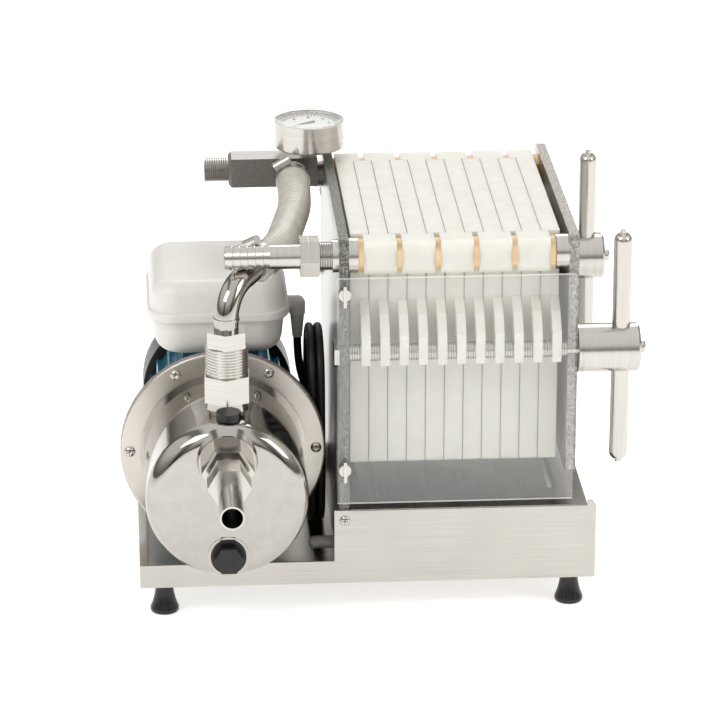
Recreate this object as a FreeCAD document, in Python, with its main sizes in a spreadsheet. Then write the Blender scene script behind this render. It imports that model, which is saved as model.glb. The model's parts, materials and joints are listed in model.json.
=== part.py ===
import FreeCAD, Part
import math
import os
import re
import Sketcher

# Bench-top plate filter press with its own self-priming pump.
#
# Machine axes: +X runs along the tie rods from the pump to the handles, +Y from the operator's
# side to the back, +Z up from the bench. The sheet holds every driving size in millimetres.
# Places are written from three data: the left end of the base (x), the front edges of the filter
# plates (y) and the bench (z), and every placement takes origin_x and origin_y off them.

os.makedirs("parts", exist_ok=True)
doc = FreeCAD.newDocument("PlateFilterPress")
Vector = FreeCAD.Vector

# ---------------------------------------------------------------------------------------------
# Driving sizes
# ---------------------------------------------------------------------------------------------

SIZES = [
    ("origin_x", 201.35, "origin, from the left end of the base"),
    ("origin_y", 29.25, "origin, behind the front edges of the filter plates"),
    ("origin_z", -2.5, "origin, the bench under the feet"),
    ("seat_gap", 0.3, "air left where a moving or loose piece meets its seat"),
    ("fit_gap", 0.06, "radial clearance of a pin in its hole"),
    # base
    ("foot_height", 25.75, "rubber foot, height"),
    ("foot_top_d", 14.5, "rubber foot, diameter at the base"),
    ("foot_low_d", 23.6, "rubber foot, diameter at the bench"),
    ("foot_round", 2.0, "rubber foot, rounding of its lower rim"),
    ("foot_band", 4.0, "rubber foot, height of its lower rim"),
    ("foot_in_x", 20.0, "rubber foot, centre from the end of the base"),
    ("foot_in_y", 13.0, "rubber foot, centre from the front or back panel"),
    ("base_len", 378.0, "base, length"),
    ("base_front", -30.0, "base, outer face of the front panel"),
    ("base_depth", 271.0, "base, depth over both panels"),
    ("base_sheet", 2.0, "base, sheet thickness"),
    ("side_height", 19.75, "base, height of the low rim"),
    ("side_lip", 6.5, "base, width of the lip on the left rim"),
    ("panel_height", 68.75, "base, height of the panel under the plates"),
    ("panel_start", 161.0, "base, where the high part of the panel begins"),
    ("notch_depth", 4.0, "panel, depth of the seat cut for the drip tray"),
    ("notch_end", 371.0, "panel, right end of the seat cut"),
    ("panel_round", 6.0, "panel, corner radius"),
    # end plates and clamp
    ("fixed_x", 165.5, "fixed end plate, outer face"),
    ("end_thick", 8.0, "end plates, thickness"),
    ("end_front", -28.0, "end plates, front edge"),
    ("end_depth", 267.0, "end plates, depth"),
    ("end_top", 321.0, "end plates, top edge"),
    ("end_round", 5.0, "end plates, corner radius"),
    ("press_low", 114.5, "sliding end plate, lower edge"),
    ("press_trim", 3.5, "sliding end plate, how far its front and back edges stand back"),
    ("clamp_span", 179.0, "clear distance between the end plates"),
    ("rod_d", 14.0, "tie rods, diameter"),
    ("rod_z", 222.0, "tie rods, height of their axes"),
    ("rod_out", 17.5, "tie rods, axes outside the filter plates"),
    ("rod_proud", 5.5, "tie rods, thread left past the clamp nuts"),
    ("rod_stub_d", 10.5, "tie rods, diameter of the stub past the clamp nuts"),
    ("rod_tip", 1.2, "tie rods, chamfer of the tip"),
    ("rod_head_af", 22.0, "tie rods, head across flats"),
    ("rod_head_len", 4.0, "tie rods, head thickness"),
    # filter plates
    ("plate_size", 200.0, "filter plates, width and height"),
    ("plate_thick", 15.0, "filter plates, thickness"),
    ("plate_pitch", 15.6, "filter plates, pitch in the pack"),
    ("plate_low", 118.0, "filter plates, lower edge"),
    ("plate_round", 3.0, "filter plates, corner radius"),
    ("first_gap", 2.5, "fixed end plate to the first filter plate"),
    ("ear_width", 26.7, "port ears, length along the pack"),
    ("ear_reach", 23.0, "port ears, how far they stand out of the plate"),
    ("ear_tall", 29.0, "port ears, height"),
    ("ear_round", 7.0, "port ears, radius of the lower outer edge"),
    ("ear_gap", 0.4, "port ears, air to the neighbouring plates' edges"),
    ("port_d", 16.0, "port bore"),
    ("port_out", 11.0, "port axis outside the filter plates"),
    ("port_drop", 14.5, "port axis under the top of the filter plates"),
    ("gasket_d", 27.0, "port gaskets, outer diameter"),
    ("bush_d", 29.0, "port bushes, outer diameter"),
    ("hook_thick", 7.4, "hooks, thickness along the pack"),
    ("hook_reach", 28.5, "hooks, how far they stand out of the plate"),
    ("hook_low", 8.0, "hooks, lower end under the rod axis"),
    ("hook_rise", 40.0, "hooks, top of the ramp over the rod axis"),
    ("hook_shoulder", 17.0, "hooks, end of the ramp over the rod axis"),
    ("field_border", 16.0, "drainage field, solid border"),
    ("groove_width", 8.0, "drainage field, groove width"),
    ("groove_depth", 2.0, "drainage field, groove depth"),
    ("groove_pitch", 12.8, "drainage field, groove pitch"),
    ("duct_d", 7.0, "duct from the port to the drainage field"),
    # clamp nuts and handles
    ("nut_d", 40.0, "clamp nuts, diameter"),
    ("nut_len", 50.6, "clamp nuts, length"),
    ("nut_chamfer", 1.6, "clamp nuts, chamfer"),
    ("collar_len", 2.2, "clamp nuts, thrust collar length"),
    ("collar_groove", 0.8, "clamp nuts, groove beside the thrust collar"),
    ("bar_d", 15.0, "handle bars, diameter"),
    ("front_bar_reach", 99.0, "front handle bars, end from the rod axis"),
    ("back_bar_reach", 94.5, "back handle bars, end from the rod axis"),
    ("nub_d", 5.0, "handle bars, diameter of the nub on their ends"),
    ("nub_len", 1.5, "handle bars, length of that nub"),
    ("bar_seat", 10.0, "handle bars, inner end from the rod axis"),
    ("bar_x", 36.0, "handle bars, axis from the sliding plate"),
    # drip tray and guards
    ("tray_sheet", 1.5, "drip tray, sheet thickness"),
    ("tray_end", 370.5, "drip tray, right edge"),
    ("tray_start", 174.5, "drip tray, left edge"),
    ("tray_over", 1.5, "drip tray, how far it covers the panels' outer faces"),
    ("tray_front_rim", 36.0, "drip tray, width of the front rim"),
    ("tray_side_rim", 19.5, "drip tray, width of the right rim"),
    ("tray_left_rim", 4.0, "drip tray, width of the left rim"),
    ("tray_back_rim", 16.0, "drip tray, width of the back rim"),
    ("tray_deep", 14.0, "drip tray, depth"),
    ("tray_slope", 6.0, "drip tray, run of its sloping walls"),
    ("guard_thick", 3.0, "clear guards, thickness"),
    ("guard_air", 1.5, "clear guards, stand-off from the end plate's edge"),
    ("guard_start", 163.5, "clear guards, left edge"),
    ("guard_end", 357.5, "clear guards, right edge"),
    ("guard_low", 95.0, "clear guards, lower edge"),
    ("front_guard_top", 290.5, "front guard, top edge"),
    ("rear_guard_top", 327.0, "rear guard, top edge"),
    ("guard_clip", 7.0, "rear guard, clipped upper corners"),
    ("wing_high", 278.0, "wing screws, upper pair"),
    ("wing_lower", 126.0, "wing screws, lower pair"),
    ("wing_head_d", 10.0, "wing screws, head diameter"),
    ("wing_head_len", 5.0, "wing screws, head length"),
    ("wing_span", 18.0, "wing screws, span of the wings"),
    ("wing_thick", 2.6, "wing screws, thickness of the wings"),
    ("wing_depth", 9.0, "wing screws, length of the wings"),
    # outlet hose tail
    ("tail_d", 20.0, "hose tails, diameter over the barbs"),
    ("tail_bore", 15.0, "hose tails, bore"),
    ("barb_cut", 1.1, "hose tails, depth of the barbs"),
    ("barb_pitch", 6.2, "hose tails, pitch of the barbs"),
    ("tail_len", 61.0, "outlet hose tail, length to its nut"),
    ("tail_nut_af", 30.0, "outlet hose tail, nut across flats"),
    ("tail_nut_len", 15.5, "outlet hose tail, nut length"),
    ("tail_thread_d", 22.4, "outlet hose tail, thread diameter"),
    ("tail_thread_len", 10.5, "outlet hose tail, thread length"),
    ("tail_collar_d", 27.0, "outlet hose tail, collar diameter"),
    ("tail_collar_len", 5.0, "outlet hose tail, collar length"),
    # feed manifold and gauge
    ("block_size", 25.2, "manifold block, width and height"),
    ("block_up", 5.6, "manifold block, axis above the port axis"),
    ("feed_bore", 12.0, "manifold hose tail, bore"),
    ("block_bore", 14.0, "manifold block, bore along it"),
    ("block_start", 84.0, "manifold block, left end"),
    ("block_end", 160.5, "manifold block, right end"),
    ("block_clip", 2.5, "manifold block, chamfer of its left end"),
    ("spigot_len", 20.5, "manifold spigot, length"),
    ("spigot_d", 20.0, "manifold spigot, diameter"),
    ("feed_x", 138.0, "manifold hose tail, distance from the base's left end"),
    ("feed_tail_len", 34.0, "manifold hose tail, length"),
    ("neck_d", 22.0, "manifold neck, diameter"),
    ("gauge_x", 154.0, "gauge, axis"),
    ("gauge_d", 60.0, "gauge case, diameter"),
    ("gauge_low", 329.0, "gauge case, underside"),
    ("gauge_tall", 23.5, "gauge case, height"),
    ("gauge_round", 2.0, "gauge case, rounding of its lower rim"),
    ("gauge_stem_af", 14.0, "gauge stem, hexagon across flats"),
    ("gauge_stem_d", 11.0, "gauge stem, diameter"),
    ("gauge_wall", 2.5, "gauge case, wall"),
    ("dial_drop", 4.0, "gauge, dial under the case's rim"),
    ("lens_d", 61.5, "gauge lens, diameter"),
    ("lens_tall", 4.6, "gauge lens, height"),
    ("lens_round", 2.0, "gauge lens, rounding of its rim"),
    # pump
    ("pump_x", 72.0, "pump axis, from the base's left end"),
    ("pump_z", 115.0, "pump axis, height"),
    ("flange_y", 46.0, "motor flange, front face"),
    ("flange_d", 172.0, "motor flange, diameter"),
    ("flange_thick", 7.0, "motor flange, thickness"),
    ("flange_edge", 2.0, "motor flange, rounding of its rim"),
    ("bead_d", 139.0, "pump casing, diameter over the mounting bead"),
    ("bead_thick", 5.0, "pump casing, thickness of the mounting bead"),
    ("casing_d", 133.0, "pump casing, diameter"),
    ("casing_deep", 18.2, "pump casing, depth of its domed front"),
    ("casing_front", -79.0, "pump casing, foremost point of its domed front"),
    ("casing_round", 14.0, "pump casing, radius of the front edge"),
    ("inlet_up", 37.0, "pump inlet, above the pump axis"),
    ("boss_d", 47.0, "pump inlet, boss diameter"),
    ("boss_skirt_d", 56.0, "pump inlet, diameter of the flared foot of the boss"),
    ("boss_skirt_len", 8.0, "pump inlet, length of the flare"),
    ("boss_proud", 0.8, "pump inlet, boss length before the foremost point of the dome"),
    ("drain_down", 45.0, "drain plug, under the pump axis"),
    ("drain_seat_d", 34.0, "drain plug, seat diameter"),
    ("drain_seat_proud", -1.0, "drain plug, seat face before the foremost point of the dome"),
    ("washer_d", 29.0, "drain plug, washer diameter"),
    ("washer_len", 2.0, "drain plug, washer thickness"),
    ("plug_af", 21.0, "drain plug, hexagon across flats"),
    ("plug_len", 9.0, "drain plug, head length"),
    ("prime_d", 20.0, "priming plug, diameter"),
    ("prime_y", -56.0, "priming plug, axis"),
    ("prime_low", 172.0, "priming plug, lower end inside the casing"),
    ("prime_top", 188.0, "priming plug, top"),
    ("coupling_af", 37.0, "inlet coupling, across flats"),
    ("coupling_len", 22.0, "inlet coupling, length"),
    ("inlet_neck_d", 25.0, "inlet hose tail, neck diameter"),
    ("inlet_neck_len", 8.0, "inlet hose tail, neck length"),
    ("inlet_hex_af", 30.5, "inlet hose tail, hexagon across flats"),
    ("inlet_hex_len", 24.0, "inlet hose tail, hexagon length"),
    ("inlet_tube_d", 19.6, "inlet hose tail, tube diameter"),
    ("inlet_tube_bore", 16.8, "inlet hose tail, tube bore"),
    ("inlet_tube_len", 61.0, "inlet hose tail, tube length"),
    ("outlet_x", 74.0, "pump outlet, axis"),
    ("outlet_y", -24.0, "pump outlet, axis"),
    ("outlet_base_d", 44.0, "pump outlet, foot diameter"),
    ("outlet_top_d", 32.0, "pump outlet, boss diameter at the union"),
    ("outlet_boss_top", 187.0, "pump outlet, top of the boss"),
    ("socket_af", 36.0, "outlet socket, across flats"),
    ("socket_len", 22.5, "outlet socket, length"),
    ("spigot_thread_d", 34.0, "outlet union, threaded collar diameter"),
    ("spigot_thread_len", 24.0, "outlet union, threaded collar length"),
    ("union_af", 31.0, "outlet union nut, across flats"),
    ("union_len", 13.5, "outlet union nut, length"),
    ("elbow_d", 20.0, "outlet elbow, tube diameter"),
    ("elbow_bore", 17.0, "outlet elbow, tube bore"),
    ("elbow_rise", 31.5, "outlet elbow, corner above the union nut"),
    ("elbow_dx", 38.2, "outlet elbow, run to the right"),
    ("elbow_dy", 51.9, "outlet elbow, run to the back"),
    ("elbow_dz", 14.2, "outlet elbow, climb of that run"),
    ("elbow_bend", 30.0, "outlet elbow, bend radius"),
    ("weld_d", 22.0, "outlet elbow, weld bead diameter"),
    ("weld_up", 8.5, "outlet elbow, weld bead above the union nut"),
    ("weld_len", 2.0, "outlet elbow, weld bead length"),
    # feed hose
    ("hose_d", 27.0, "feed hose, outer diameter"),
    ("hose_bore", 20.4, "feed hose, bore"),
    ("hose_grip", 22.0, "feed hose, length pushed over a hose tail"),
    ("hose_lead", 16.0, "feed hose, straight run past the elbow"),
    ("hose_knee_y", 118.0, "feed hose, where it turns along the pump"),
    ("hose_knee_drop", 5.1, "feed hose, how far it sags there under the manifold"),
    ("hose_last", 31.5, "feed hose, straight run at the manifold"),
    ("hose_off", 12.0, "feed hose, end before the manifold block"),
    ("clamp_wide", 9.0, "hose clamps, band width"),
    ("clamp_thick", 1.2, "hose clamps, band thickness"),
    ("clamp_screw_d", 8.0, "hose clamps, screw housing diameter"),
    ("clamp_screw_len", 15.0, "hose clamps, screw housing length"),
    ("clamp_lean", 30.0, "hose clamps, lean of the screw housing in degrees"),
    # motor
    ("motor_d", 112.0, "motor, diameter under the fins"),
    ("motor_len", 137.0, "motor, length"),
    ("fin_height", 5.0, "motor, fin height"),
    ("fin_thick", 2.2, "motor, fin thickness"),
    ("cowl_d", 130.0, "fan cowl, diameter"),
    ("cowl_len", 48.0, "fan cowl, length"),
    ("cowl_round", 12.0, "fan cowl, rounding of its back edge"),
    ("pad_wide", 92.0, "motor foot, width"),
    ("pad_deep", 74.0, "motor foot, length"),
    ("pad_thick", 6.0, "motor foot, thickness of the sole"),
    ("pad_web", 46.0, "motor foot, width of the stem"),
    ("neck_wide", 64.0, "motor terminal neck, width"),
    ("neck_deep", 84.0, "motor terminal neck, length"),
    # control box
    ("box_x", 11.0, "control box, left face"),
    ("box_y", 62.0, "control box, front face"),
    ("box_wide", 119.0, "control box, width"),
    ("box_deep", 132.0, "control box, depth"),
    ("box_low", 190.0, "control box, underside"),
    ("box_seam", 221.0, "control box, seam of the lid"),
    ("box_top", 255.0, "control box, top"),
    ("box_inset", 4.0, "control box, how far the lower part stands in"),
    ("box_taper", 6.0, "control box, draft of the lower part"),
    ("box_round", 24.0, "control box, radius of upright edges"),
    ("bowl_round", 14.0, "control box, rounding of its underside"),
    ("lid_round", 13.0, "control box lid, radius of the top edge"),
    ("lid_rim", 9.0, "control box lid, height of its rim"),
    ("lid_taper", 4.0, "control box lid, draft of its walls in degrees"),
    ("lid_inset", 1.5, "control box lid, how far the walls stand in from the rim"),
    ("rim_round", 2.5, "control box lid, rounding of the rim"),
    # drain stub of the end plate
    ("stub_d", 10.5, "capped drain stub, diameter"),
    ("stub_len", 25.0, "capped drain stub, length"),
    ("stub_y", -9.0, "capped drain stub, axis"),
    ("stub_z", 52.0, "capped drain stub, axis"),
    # mains cord
    ("cord_d", 7.0, "mains cord, diameter"),
    ("gland_d", 14.0, "cord gland, diameter"),
    ("gland_in", 4.0, "cord gland, depth inside the box's wall line"),
    ("gland_x", 140.0, "cord gland, axis of its downward arm"),
    ("gland_z", 206.0, "cord gland, height of its level arm"),
    ("gland_arm", 9.0, "cord gland, length of its downward arm"),
    ("relief_len", 21.0, "strain reliefs, length"),
    ("relief_big_d", 12.5, "strain reliefs, thick end"),
    ("relief_small_d", 8.4, "strain reliefs, thin end"),
    ("hank_x", 144.8, "cord hank, left face"),
    ("hank_y", 62.5, "cord hank, front edge"),
    ("hank_deep", 95.0, "cord hank, depth"),
    ("hank_tall", 176.0, "cord hank, height"),
    ("hank_band", 14.4, "cord hank, thickness of the bundle"),
    ("hank_soft", 3.4, "cord hank, rounding of the bundle"),
    ("plug_wide", 34.0, "mains plug, width"),
    ("plug_tall", 17.0, "mains plug, height"),
    ("plug_body_len", 32.0, "mains plug, length of the body"),
    ("plug_soft", 5.0, "mains plug, rounding"),
    ("pin_d", 4.8, "mains plug, pin diameter"),
    ("pin_len", 19.0, "mains plug, pin length"),
    ("pin_pitch", 19.0, "mains plug, pin spacing"),
]

sheet = doc.addObject("Spreadsheet::Sheet", "Sizes")
KNOWN = set()
for row, (name, number, note) in enumerate(SIZES, start=1):
    sheet.set(f"A{row}", note)
    sheet.set(f"B{row}", str(number))
    sheet.setAlias(f"B{row}", name)
    KNOWN.add(name)
doc.recompute()

PLATES = 11
FEET = 4
BARBS = 6
GROOVES = 13
FINS = 24
SOCKET_SPIN = 27
PINS = 2

# ---------------------------------------------------------------------------------------------
# Places that several pieces share, written in the sheet's names
# ---------------------------------------------------------------------------------------------

FIXED_IN = "(fixed_x + end_thick)"
PRESS_IN = "(fixed_x + end_thick + clamp_span)"
PRESS_OUT = "(fixed_x + 2 * end_thick + clamp_span)"
PORT_Z = "(plate_low + plate_size - port_drop)"
FRONT_PORT_Y = "(-port_out)"
BACK_PORT_Y = "(plate_size + port_out)"
FRONT_ROD_Y = "(-rod_out)"
BACK_ROD_Y = "(plate_size + rod_out)"
BASE_BACK = "(base_front + base_depth)"
END_BACK = "(end_front + end_depth)"
GASKET_LEN = "(2 * plate_pitch - ear_width)"
PAN_Z = "(origin_z + foot_height)"
SHEET_TOP = "(origin_z + foot_height + base_sheet)"
TRAY_SEAT = "(origin_z + foot_height + panel_height - notch_depth)"
NUT_START = f"({PRESS_OUT} + seat_gap)"
NUT_END = f"({PRESS_OUT} + seat_gap + nut_len)"
MOTOR_Y = "(flange_y + flange_thick)"
INLET_Z = "(pump_z + inlet_up)"
BOSS_Y = "(casing_front - boss_proud)"
COUPLING_Y = f"({BOSS_Y} - coupling_len)"
DRAIN_Y = "(casing_front - drain_seat_proud)"
INLET_HEX_Y = f"({COUPLING_Y} - inlet_neck_len - inlet_hex_len)"
UNION_LOW = "(outlet_boss_top + socket_len + spigot_thread_len)"
UNION_TOP = f"({UNION_LOW} + union_len)"
BLOCK_Z = f"({PORT_Z} + block_up)"
BLOCK_FRONT = f"({BACK_PORT_Y} - block_size / 2)"
HANK_RUN_Y = "(hank_y + hank_deep - hank_band / 4)"
HANK_Z = f"({SHEET_TOP} + hank_tall / 2)"


def plate_mid(number):
    """Mid-plane of a filter plate, counted from 1 at the fixed end plate."""
    return f"({FIXED_IN} + first_gap + plate_thick / 2 + {number - 1} * plate_pitch)"


# ---------------------------------------------------------------------------------------------
# Helpers
# ---------------------------------------------------------------------------------------------

def bound(text):
    """Point every size named in an expression at its cell."""
    def cell(match):
        word = match.group(0)
        return "Sizes." + word if word in KNOWN else word
    return re.sub(r"[a-z][a-z0-9]*(?:_[a-z0-9]+)+", cell, str(text))


def number(text):
    return float(sheet.evalExpression(bound(text)))


def point(x, y, z):
    """A machine point in the part's own frame."""
    return Vector(number(f"{x} - origin_x"), number(f"{y} - origin_y"), number(f"{z} - origin_z"))


def tie(thing, **sizes):
    for prop, text in sizes.items():
        thing.setExpression(prop, bound(text))


def put(thing, x="0", y="0", z="0", turn=None):
    """Place a thing by its machine coordinates, with an optional rotation."""
    if turn is not None:
        thing.Placement = FreeCAD.Placement(Vector(0, 0, 0), turn)
    thing.setExpression(".Placement.Base.x", bound(f"{x} - origin_x"))
    thing.setExpression(".Placement.Base.y", bound(f"{y} - origin_y"))
    thing.setExpression(".Placement.Base.z", bound(f"{z} - origin_z"))
    return thing


TURNS = {
    "+z": FreeCAD.Rotation(Vector(1, 0, 0), 0),
    "-z": FreeCAD.Rotation(Vector(1, 0, 0), 180),
    "+x": FreeCAD.Rotation(Vector(0, 1, 0), 90),
    "-x": FreeCAD.Rotation(Vector(0, 1, 0), -90),
    "+y": FreeCAD.Rotation(Vector(1, 0, 0), -90),
    "-y": FreeCAD.Rotation(Vector(1, 0, 0), 90),
}


def box(label, x, y, z, dx, dy, dz):
    thing = doc.addObject("Part::Box", label)
    tie(thing, Length=dx, Width=dy, Height=dz)
    return put(thing, x, y, z)


def cylinder(label, way, x, y, z, length, diameter):
    thing = doc.addObject("Part::Cylinder", label)
    tie(thing, Height=length, Radius=f"({diameter}) / 2")
    return put(thing, x, y, z, TURNS[way])


def cone(label, way, x, y, z, length, first_d, last_d):
    thing = doc.addObject("Part::Cone", label)
    tie(thing, Height=length, Radius1=f"({first_d}) / 2", Radius2=f"({last_d}) / 2")
    return put(thing, x, y, z, TURNS[way])


def ball(label, x, y, z, diameter):
    thing = doc.addObject("Part::Sphere", label)
    tie(thing, Radius=f"({diameter}) / 2")
    return put(thing, x, y, z)


def hexagon(label, way, x, y, z, length, across_flats, spin=0):
    """Hexagonal prism; spin turns it about its own axis, in degrees."""
    thing = doc.addObject("Part::Prism", label)
    thing.Polygon = 6
    tie(thing, Height=length, Circumradius=f"({across_flats}) / sqrt(3)")
    own_turn = FreeCAD.Rotation(Vector(0, 0, 1), spin)
    return put(thing, x, y, z, TURNS[way] * own_turn)


def fuse(label, pieces):
    thing = doc.addObject("Part::MultiFuse", label)
    thing.Shapes = pieces
    thing.Label = label
    return thing


def cut(label, base, tools):
    tool = tools[0] if len(tools) == 1 else fuse(label + "_tools", tools)
    thing = doc.addObject("Part::Cut", label)
    thing.Base = base
    thing.Tool = tool
    thing.Label = label
    return thing


def group(label, pieces):
    """Like pieces on one body that don't touch, kept as one node."""
    thing = doc.addObject("Part::Compound", label)
    thing.Links = pieces
    thing.Label = label
    return thing


def body(label, x="0", y="0", z="0", turn=None):
    thing = doc.addObject("PartDesign::Body", label)
    thing.Label = label
    return put(thing, x, y, z, turn)


def plane(owner, role):
    return next(item for item in owner.Origin.OriginFeatures if item.Role == role)


def sketch(owner, role, label, loops, offset=None):
    """A fully constrained sketch: closed outlines of points, or circles (u, v, diameter)."""
    drawing = owner.newObject("Sketcher::SketchObject", label)
    drawing.AttachmentSupport = [(plane(owner, role), "")]
    drawing.MapMode = "FlatFace"
    if offset is not None:
        drawing.setExpression(".AttachmentOffset.Base.z", bound(offset))
    for loop in loops:
        if isinstance(loop, tuple):
            draw_circle(drawing, *loop)
        else:
            draw_outline(drawing, loop)
    return drawing


def pin_point(drawing, geometry, position, u, v):
    for kind, text in (("DistanceX", u), ("DistanceY", v)):
        index = drawing.addConstraint(
            Sketcher.Constraint(kind, -1, 1, geometry, position, number(text)))
        drawing.setExpression(f"Constraints[{index}]", bound(text))


def draw_circle(drawing, u, v, diameter):
    centre = Vector(number(u), number(v), 0)
    circle = Part.Circle(centre, Vector(0, 0, 1), number(diameter) / 2)
    index = drawing.addGeometry(circle, False)
    size = drawing.addConstraint(Sketcher.Constraint("Diameter", index, number(diameter)))
    drawing.setExpression(f"Constraints[{size}]", bound(diameter))
    pin_point(drawing, index, 3, u, v)


def draw_edge(drawing, start, end, centre):
    """A line, or the shorter arc about a centre; gives its index and its two end positions."""
    if centre is None:
        return drawing.addGeometry(Part.LineSegment(start, end), False), 1, 2
    first = math.atan2(start.y - centre.y, start.x - centre.x)
    last = math.atan2(end.y - centre.y, end.x - centre.x)
    turn = (last - first) % (2 * math.pi)
    circle = Part.Circle(centre, Vector(0, 0, 1), (start - centre).Length)
    if turn <= math.pi:
        return drawing.addGeometry(Part.ArcOfCircle(circle, first, first + turn), False), 1, 2
    rest = 2 * math.pi - turn
    return drawing.addGeometry(Part.ArcOfCircle(circle, last, last + rest), False), 2, 1


def draw_outline(drawing, points):
    """Closed outline; a point (u, v, radius, centre) starts an arc, and (u, v) a line."""
    corners = [Vector(number(entry[0]), number(entry[1]), 0) for entry in points]
    edges = []
    for index, entry in enumerate(points):
        centre = None
        if len(entry) == 4:
            centre = Vector(number(entry[3][0]), number(entry[3][1]), 0)
        following = corners[(index + 1) % len(points)]
        edges.append(draw_edge(drawing, corners[index], following, centre))
    for index, (edge, _, end) in enumerate(edges):
        following, start, _ = edges[(index + 1) % len(edges)]
        drawing.addConstraint(Sketcher.Constraint("Coincident", edge, end, following, start))
    for entry, (edge, start, _) in zip(points, edges):
        pin_point(drawing, edge, start, entry[0], entry[1])
        if len(entry) == 4:
            radius = drawing.addConstraint(
                Sketcher.Constraint("Radius", edge, number(entry[2])))
            drawing.setExpression(f"Constraints[{radius}]", bound(entry[2]))


def rectangle(u0, v0, u1, v1):
    return [(u0, v0), (u1, v0), (u1, v1), (u0, v1)]


def pad(owner, label, profile, length, sides="One side", back=None, reverse=False):
    feature = owner.newObject("PartDesign::Pad", label)
    feature.Profile = profile
    feature.SideType = sides
    feature.Reversed = reverse
    tie(feature, Length=length)
    if back is not None:
        tie(feature, Length2=back)
    profile.Visibility = False
    return feature


def pocket(owner, label, profile, length, sides="One side", reverse=False):
    """A pocket that must take material away."""
    doc.recompute()
    before = owner.Shape.Volume
    feature = owner.newObject("PartDesign::Pocket", label)
    feature.Profile = profile
    feature.SideType = sides
    feature.Reversed = reverse
    tie(feature, Length=length)
    doc.recompute()
    if not feature.Shape.Volume < before - 1e-6:
        raise RuntimeError(f"{label} cuts nothing")
    return feature


def revolve(owner, label, profile, axis):
    feature = owner.newObject("PartDesign::Revolution", label)
    feature.Profile = profile
    feature.ReferenceAxis = (profile, [axis])
    feature.Angle = 360
    return feature


def edges_where(shape, test):
    return [f"Edge{index}" for index, edge in enumerate(shape.Edges, start=1) if test(edge)]


def round_edges(owner, label, test, radius, kind="Fillet"):
    """Round or chamfer the edges of a body's tip that pass a test."""
    doc.recompute()
    tip = owner.Tip
    names = edges_where(tip.Shape, test)
    if not names:
        raise RuntimeError(f"{label} finds no edge")
    feature = owner.newObject("PartDesign::" + kind, label)
    feature.Base = (tip, names)
    tie(feature, **{"Radius" if kind == "Fillet" else "Size": radius})
    return feature


def along(edge, axis):
    """True for a straight edge that runs along one of the axes 0, 1, 2."""
    if edge.Curve.TypeId != "Part::GeomLine":
        return False
    direction = edge.Curve.Direction
    return abs(abs(direction[axis]) - 1) < 1e-6


def centre_of(edge):
    return edge.BoundBox.Center


def run_with_bends(points, radii):
    """Straight runs joined by tangent arcs, as a wire."""
    edges = []
    start = points[0]
    for index in range(1, len(points) - 1):
        corner = points[index]
        before = (points[index - 1] - corner).normalize()
        after = (points[index + 1] - corner).normalize()
        half_turn = (math.pi - before.getAngle(after)) / 2
        reach = radii[index - 1] * math.tan(half_turn)
        enter = corner + before * reach
        leave = corner + after * reach
        middle = corner + (before + after).normalize() * (
            radii[index - 1] / math.cos(half_turn) - radii[index - 1])
        if (enter - start).Length > 1e-6:
            edges.append(Part.LineSegment(start, enter).toShape())
        edges.append(Part.Arc(enter, middle, leave).toShape())
        start = leave
    edges.append(Part.LineSegment(start, points[-1]).toShape())
    return Part.Wire(edges)


def bend_radii(points):
    """The largest arcs that the runs allow: 0.45 of the shorter run."""
    radii = []
    for index in range(1, len(points) - 1):
        before = points[index - 1] - points[index]
        after = points[index + 1] - points[index]
        half_turn = (math.pi - before.getAngle(after)) / 2
        radii.append(0.45 * min(before.Length, after.Length) / math.tan(half_turn))
    return radii


def tube(path, diameter):
    """A round bar swept along a wire."""
    start = path.OrderedVertexes[0].Point
    heading = path.OrderedEdges[0].tangentAt(path.OrderedEdges[0].FirstParameter)
    if path.OrderedEdges[0].Orientation == "Reversed":
        heading = heading * -1
    ring = Part.Wire(Part.Circle(start, heading, diameter / 2).toShape())
    return path.makePipeShell([ring], True, False)


def at_origin(label, shape):
    """A swept piece that no primitive fits; its shape comes from the sheet's sizes."""
    thing = doc.addObject("Part::Feature", label)
    thing.Label = label
    thing.Shape = shape
    return thing


def bar_along(label, route, diameter):
    """A round bar along a route's corner points, with the largest bends they allow."""
    radii = bend_radii(route)
    path = run_with_bends(route, radii)
    bar = tube(path, diameter)
    true_volume = math.pi / 4 * diameter ** 2 * path.Length
    print(label, "length", round(path.Length, 1), "bends", [round(radius) for radius in radii],
          "volume ratio", round(bar.Volume / true_volume, 4))
    return bar


# ---------------------------------------------------------------------------------------------
# Base: pan, panels and feet
# ---------------------------------------------------------------------------------------------

def make_base_pan():
    """Bent sheet: floor, a left rim with an inward lip and a plain right rim."""
    pan = body("base_pan", "0", "base_front + base_depth / 2", PAN_Z)
    outline = [
        ("0", "0"),
        ("base_len", "0"),
        ("base_len", "side_height"),
        ("base_len - base_sheet", "side_height"),
        ("base_len - base_sheet", "base_sheet"),
        ("base_sheet", "base_sheet"),
        ("base_sheet", "side_height - base_sheet"),
        ("side_lip", "side_height - base_sheet"),
        ("side_lip", "side_height"),
        ("0", "side_height"),
    ]
    section = sketch(pan, "XZ_Plane", "pan_section", [outline])
    pad(pan, "pan_sheet", section, "base_depth - 2 * base_sheet", sides="Symmetric")
    return pan


def make_panel(label, y, inward):
    """Front or back panel: low beside the pump, high under the filter plates."""
    panel = body(label, "0", y, PAN_Z)
    outline = [
        ("0", "0"),
        ("base_len", "0"),
        ("base_len", "panel_height"),
        ("notch_end", "panel_height"),
        ("notch_end", "panel_height - notch_depth"),
        ("panel_start", "panel_height - notch_depth"),
        ("panel_start", "side_height"),
        ("0", "side_height"),
    ]
    section = sketch(panel, "XZ_Plane", label + "_outline", [outline])
    pad(panel, label + "_sheet", section, "base_sheet", reverse=inward)

    def outer_corner(edge):
        place = centre_of(edge)
        high = place.z > number("panel_height") - 1
        return along(edge, 1) and high and place.x > number("base_len") - 1

    round_edges(panel, label + "_corner", outer_corner, "panel_round")
    return panel


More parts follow.
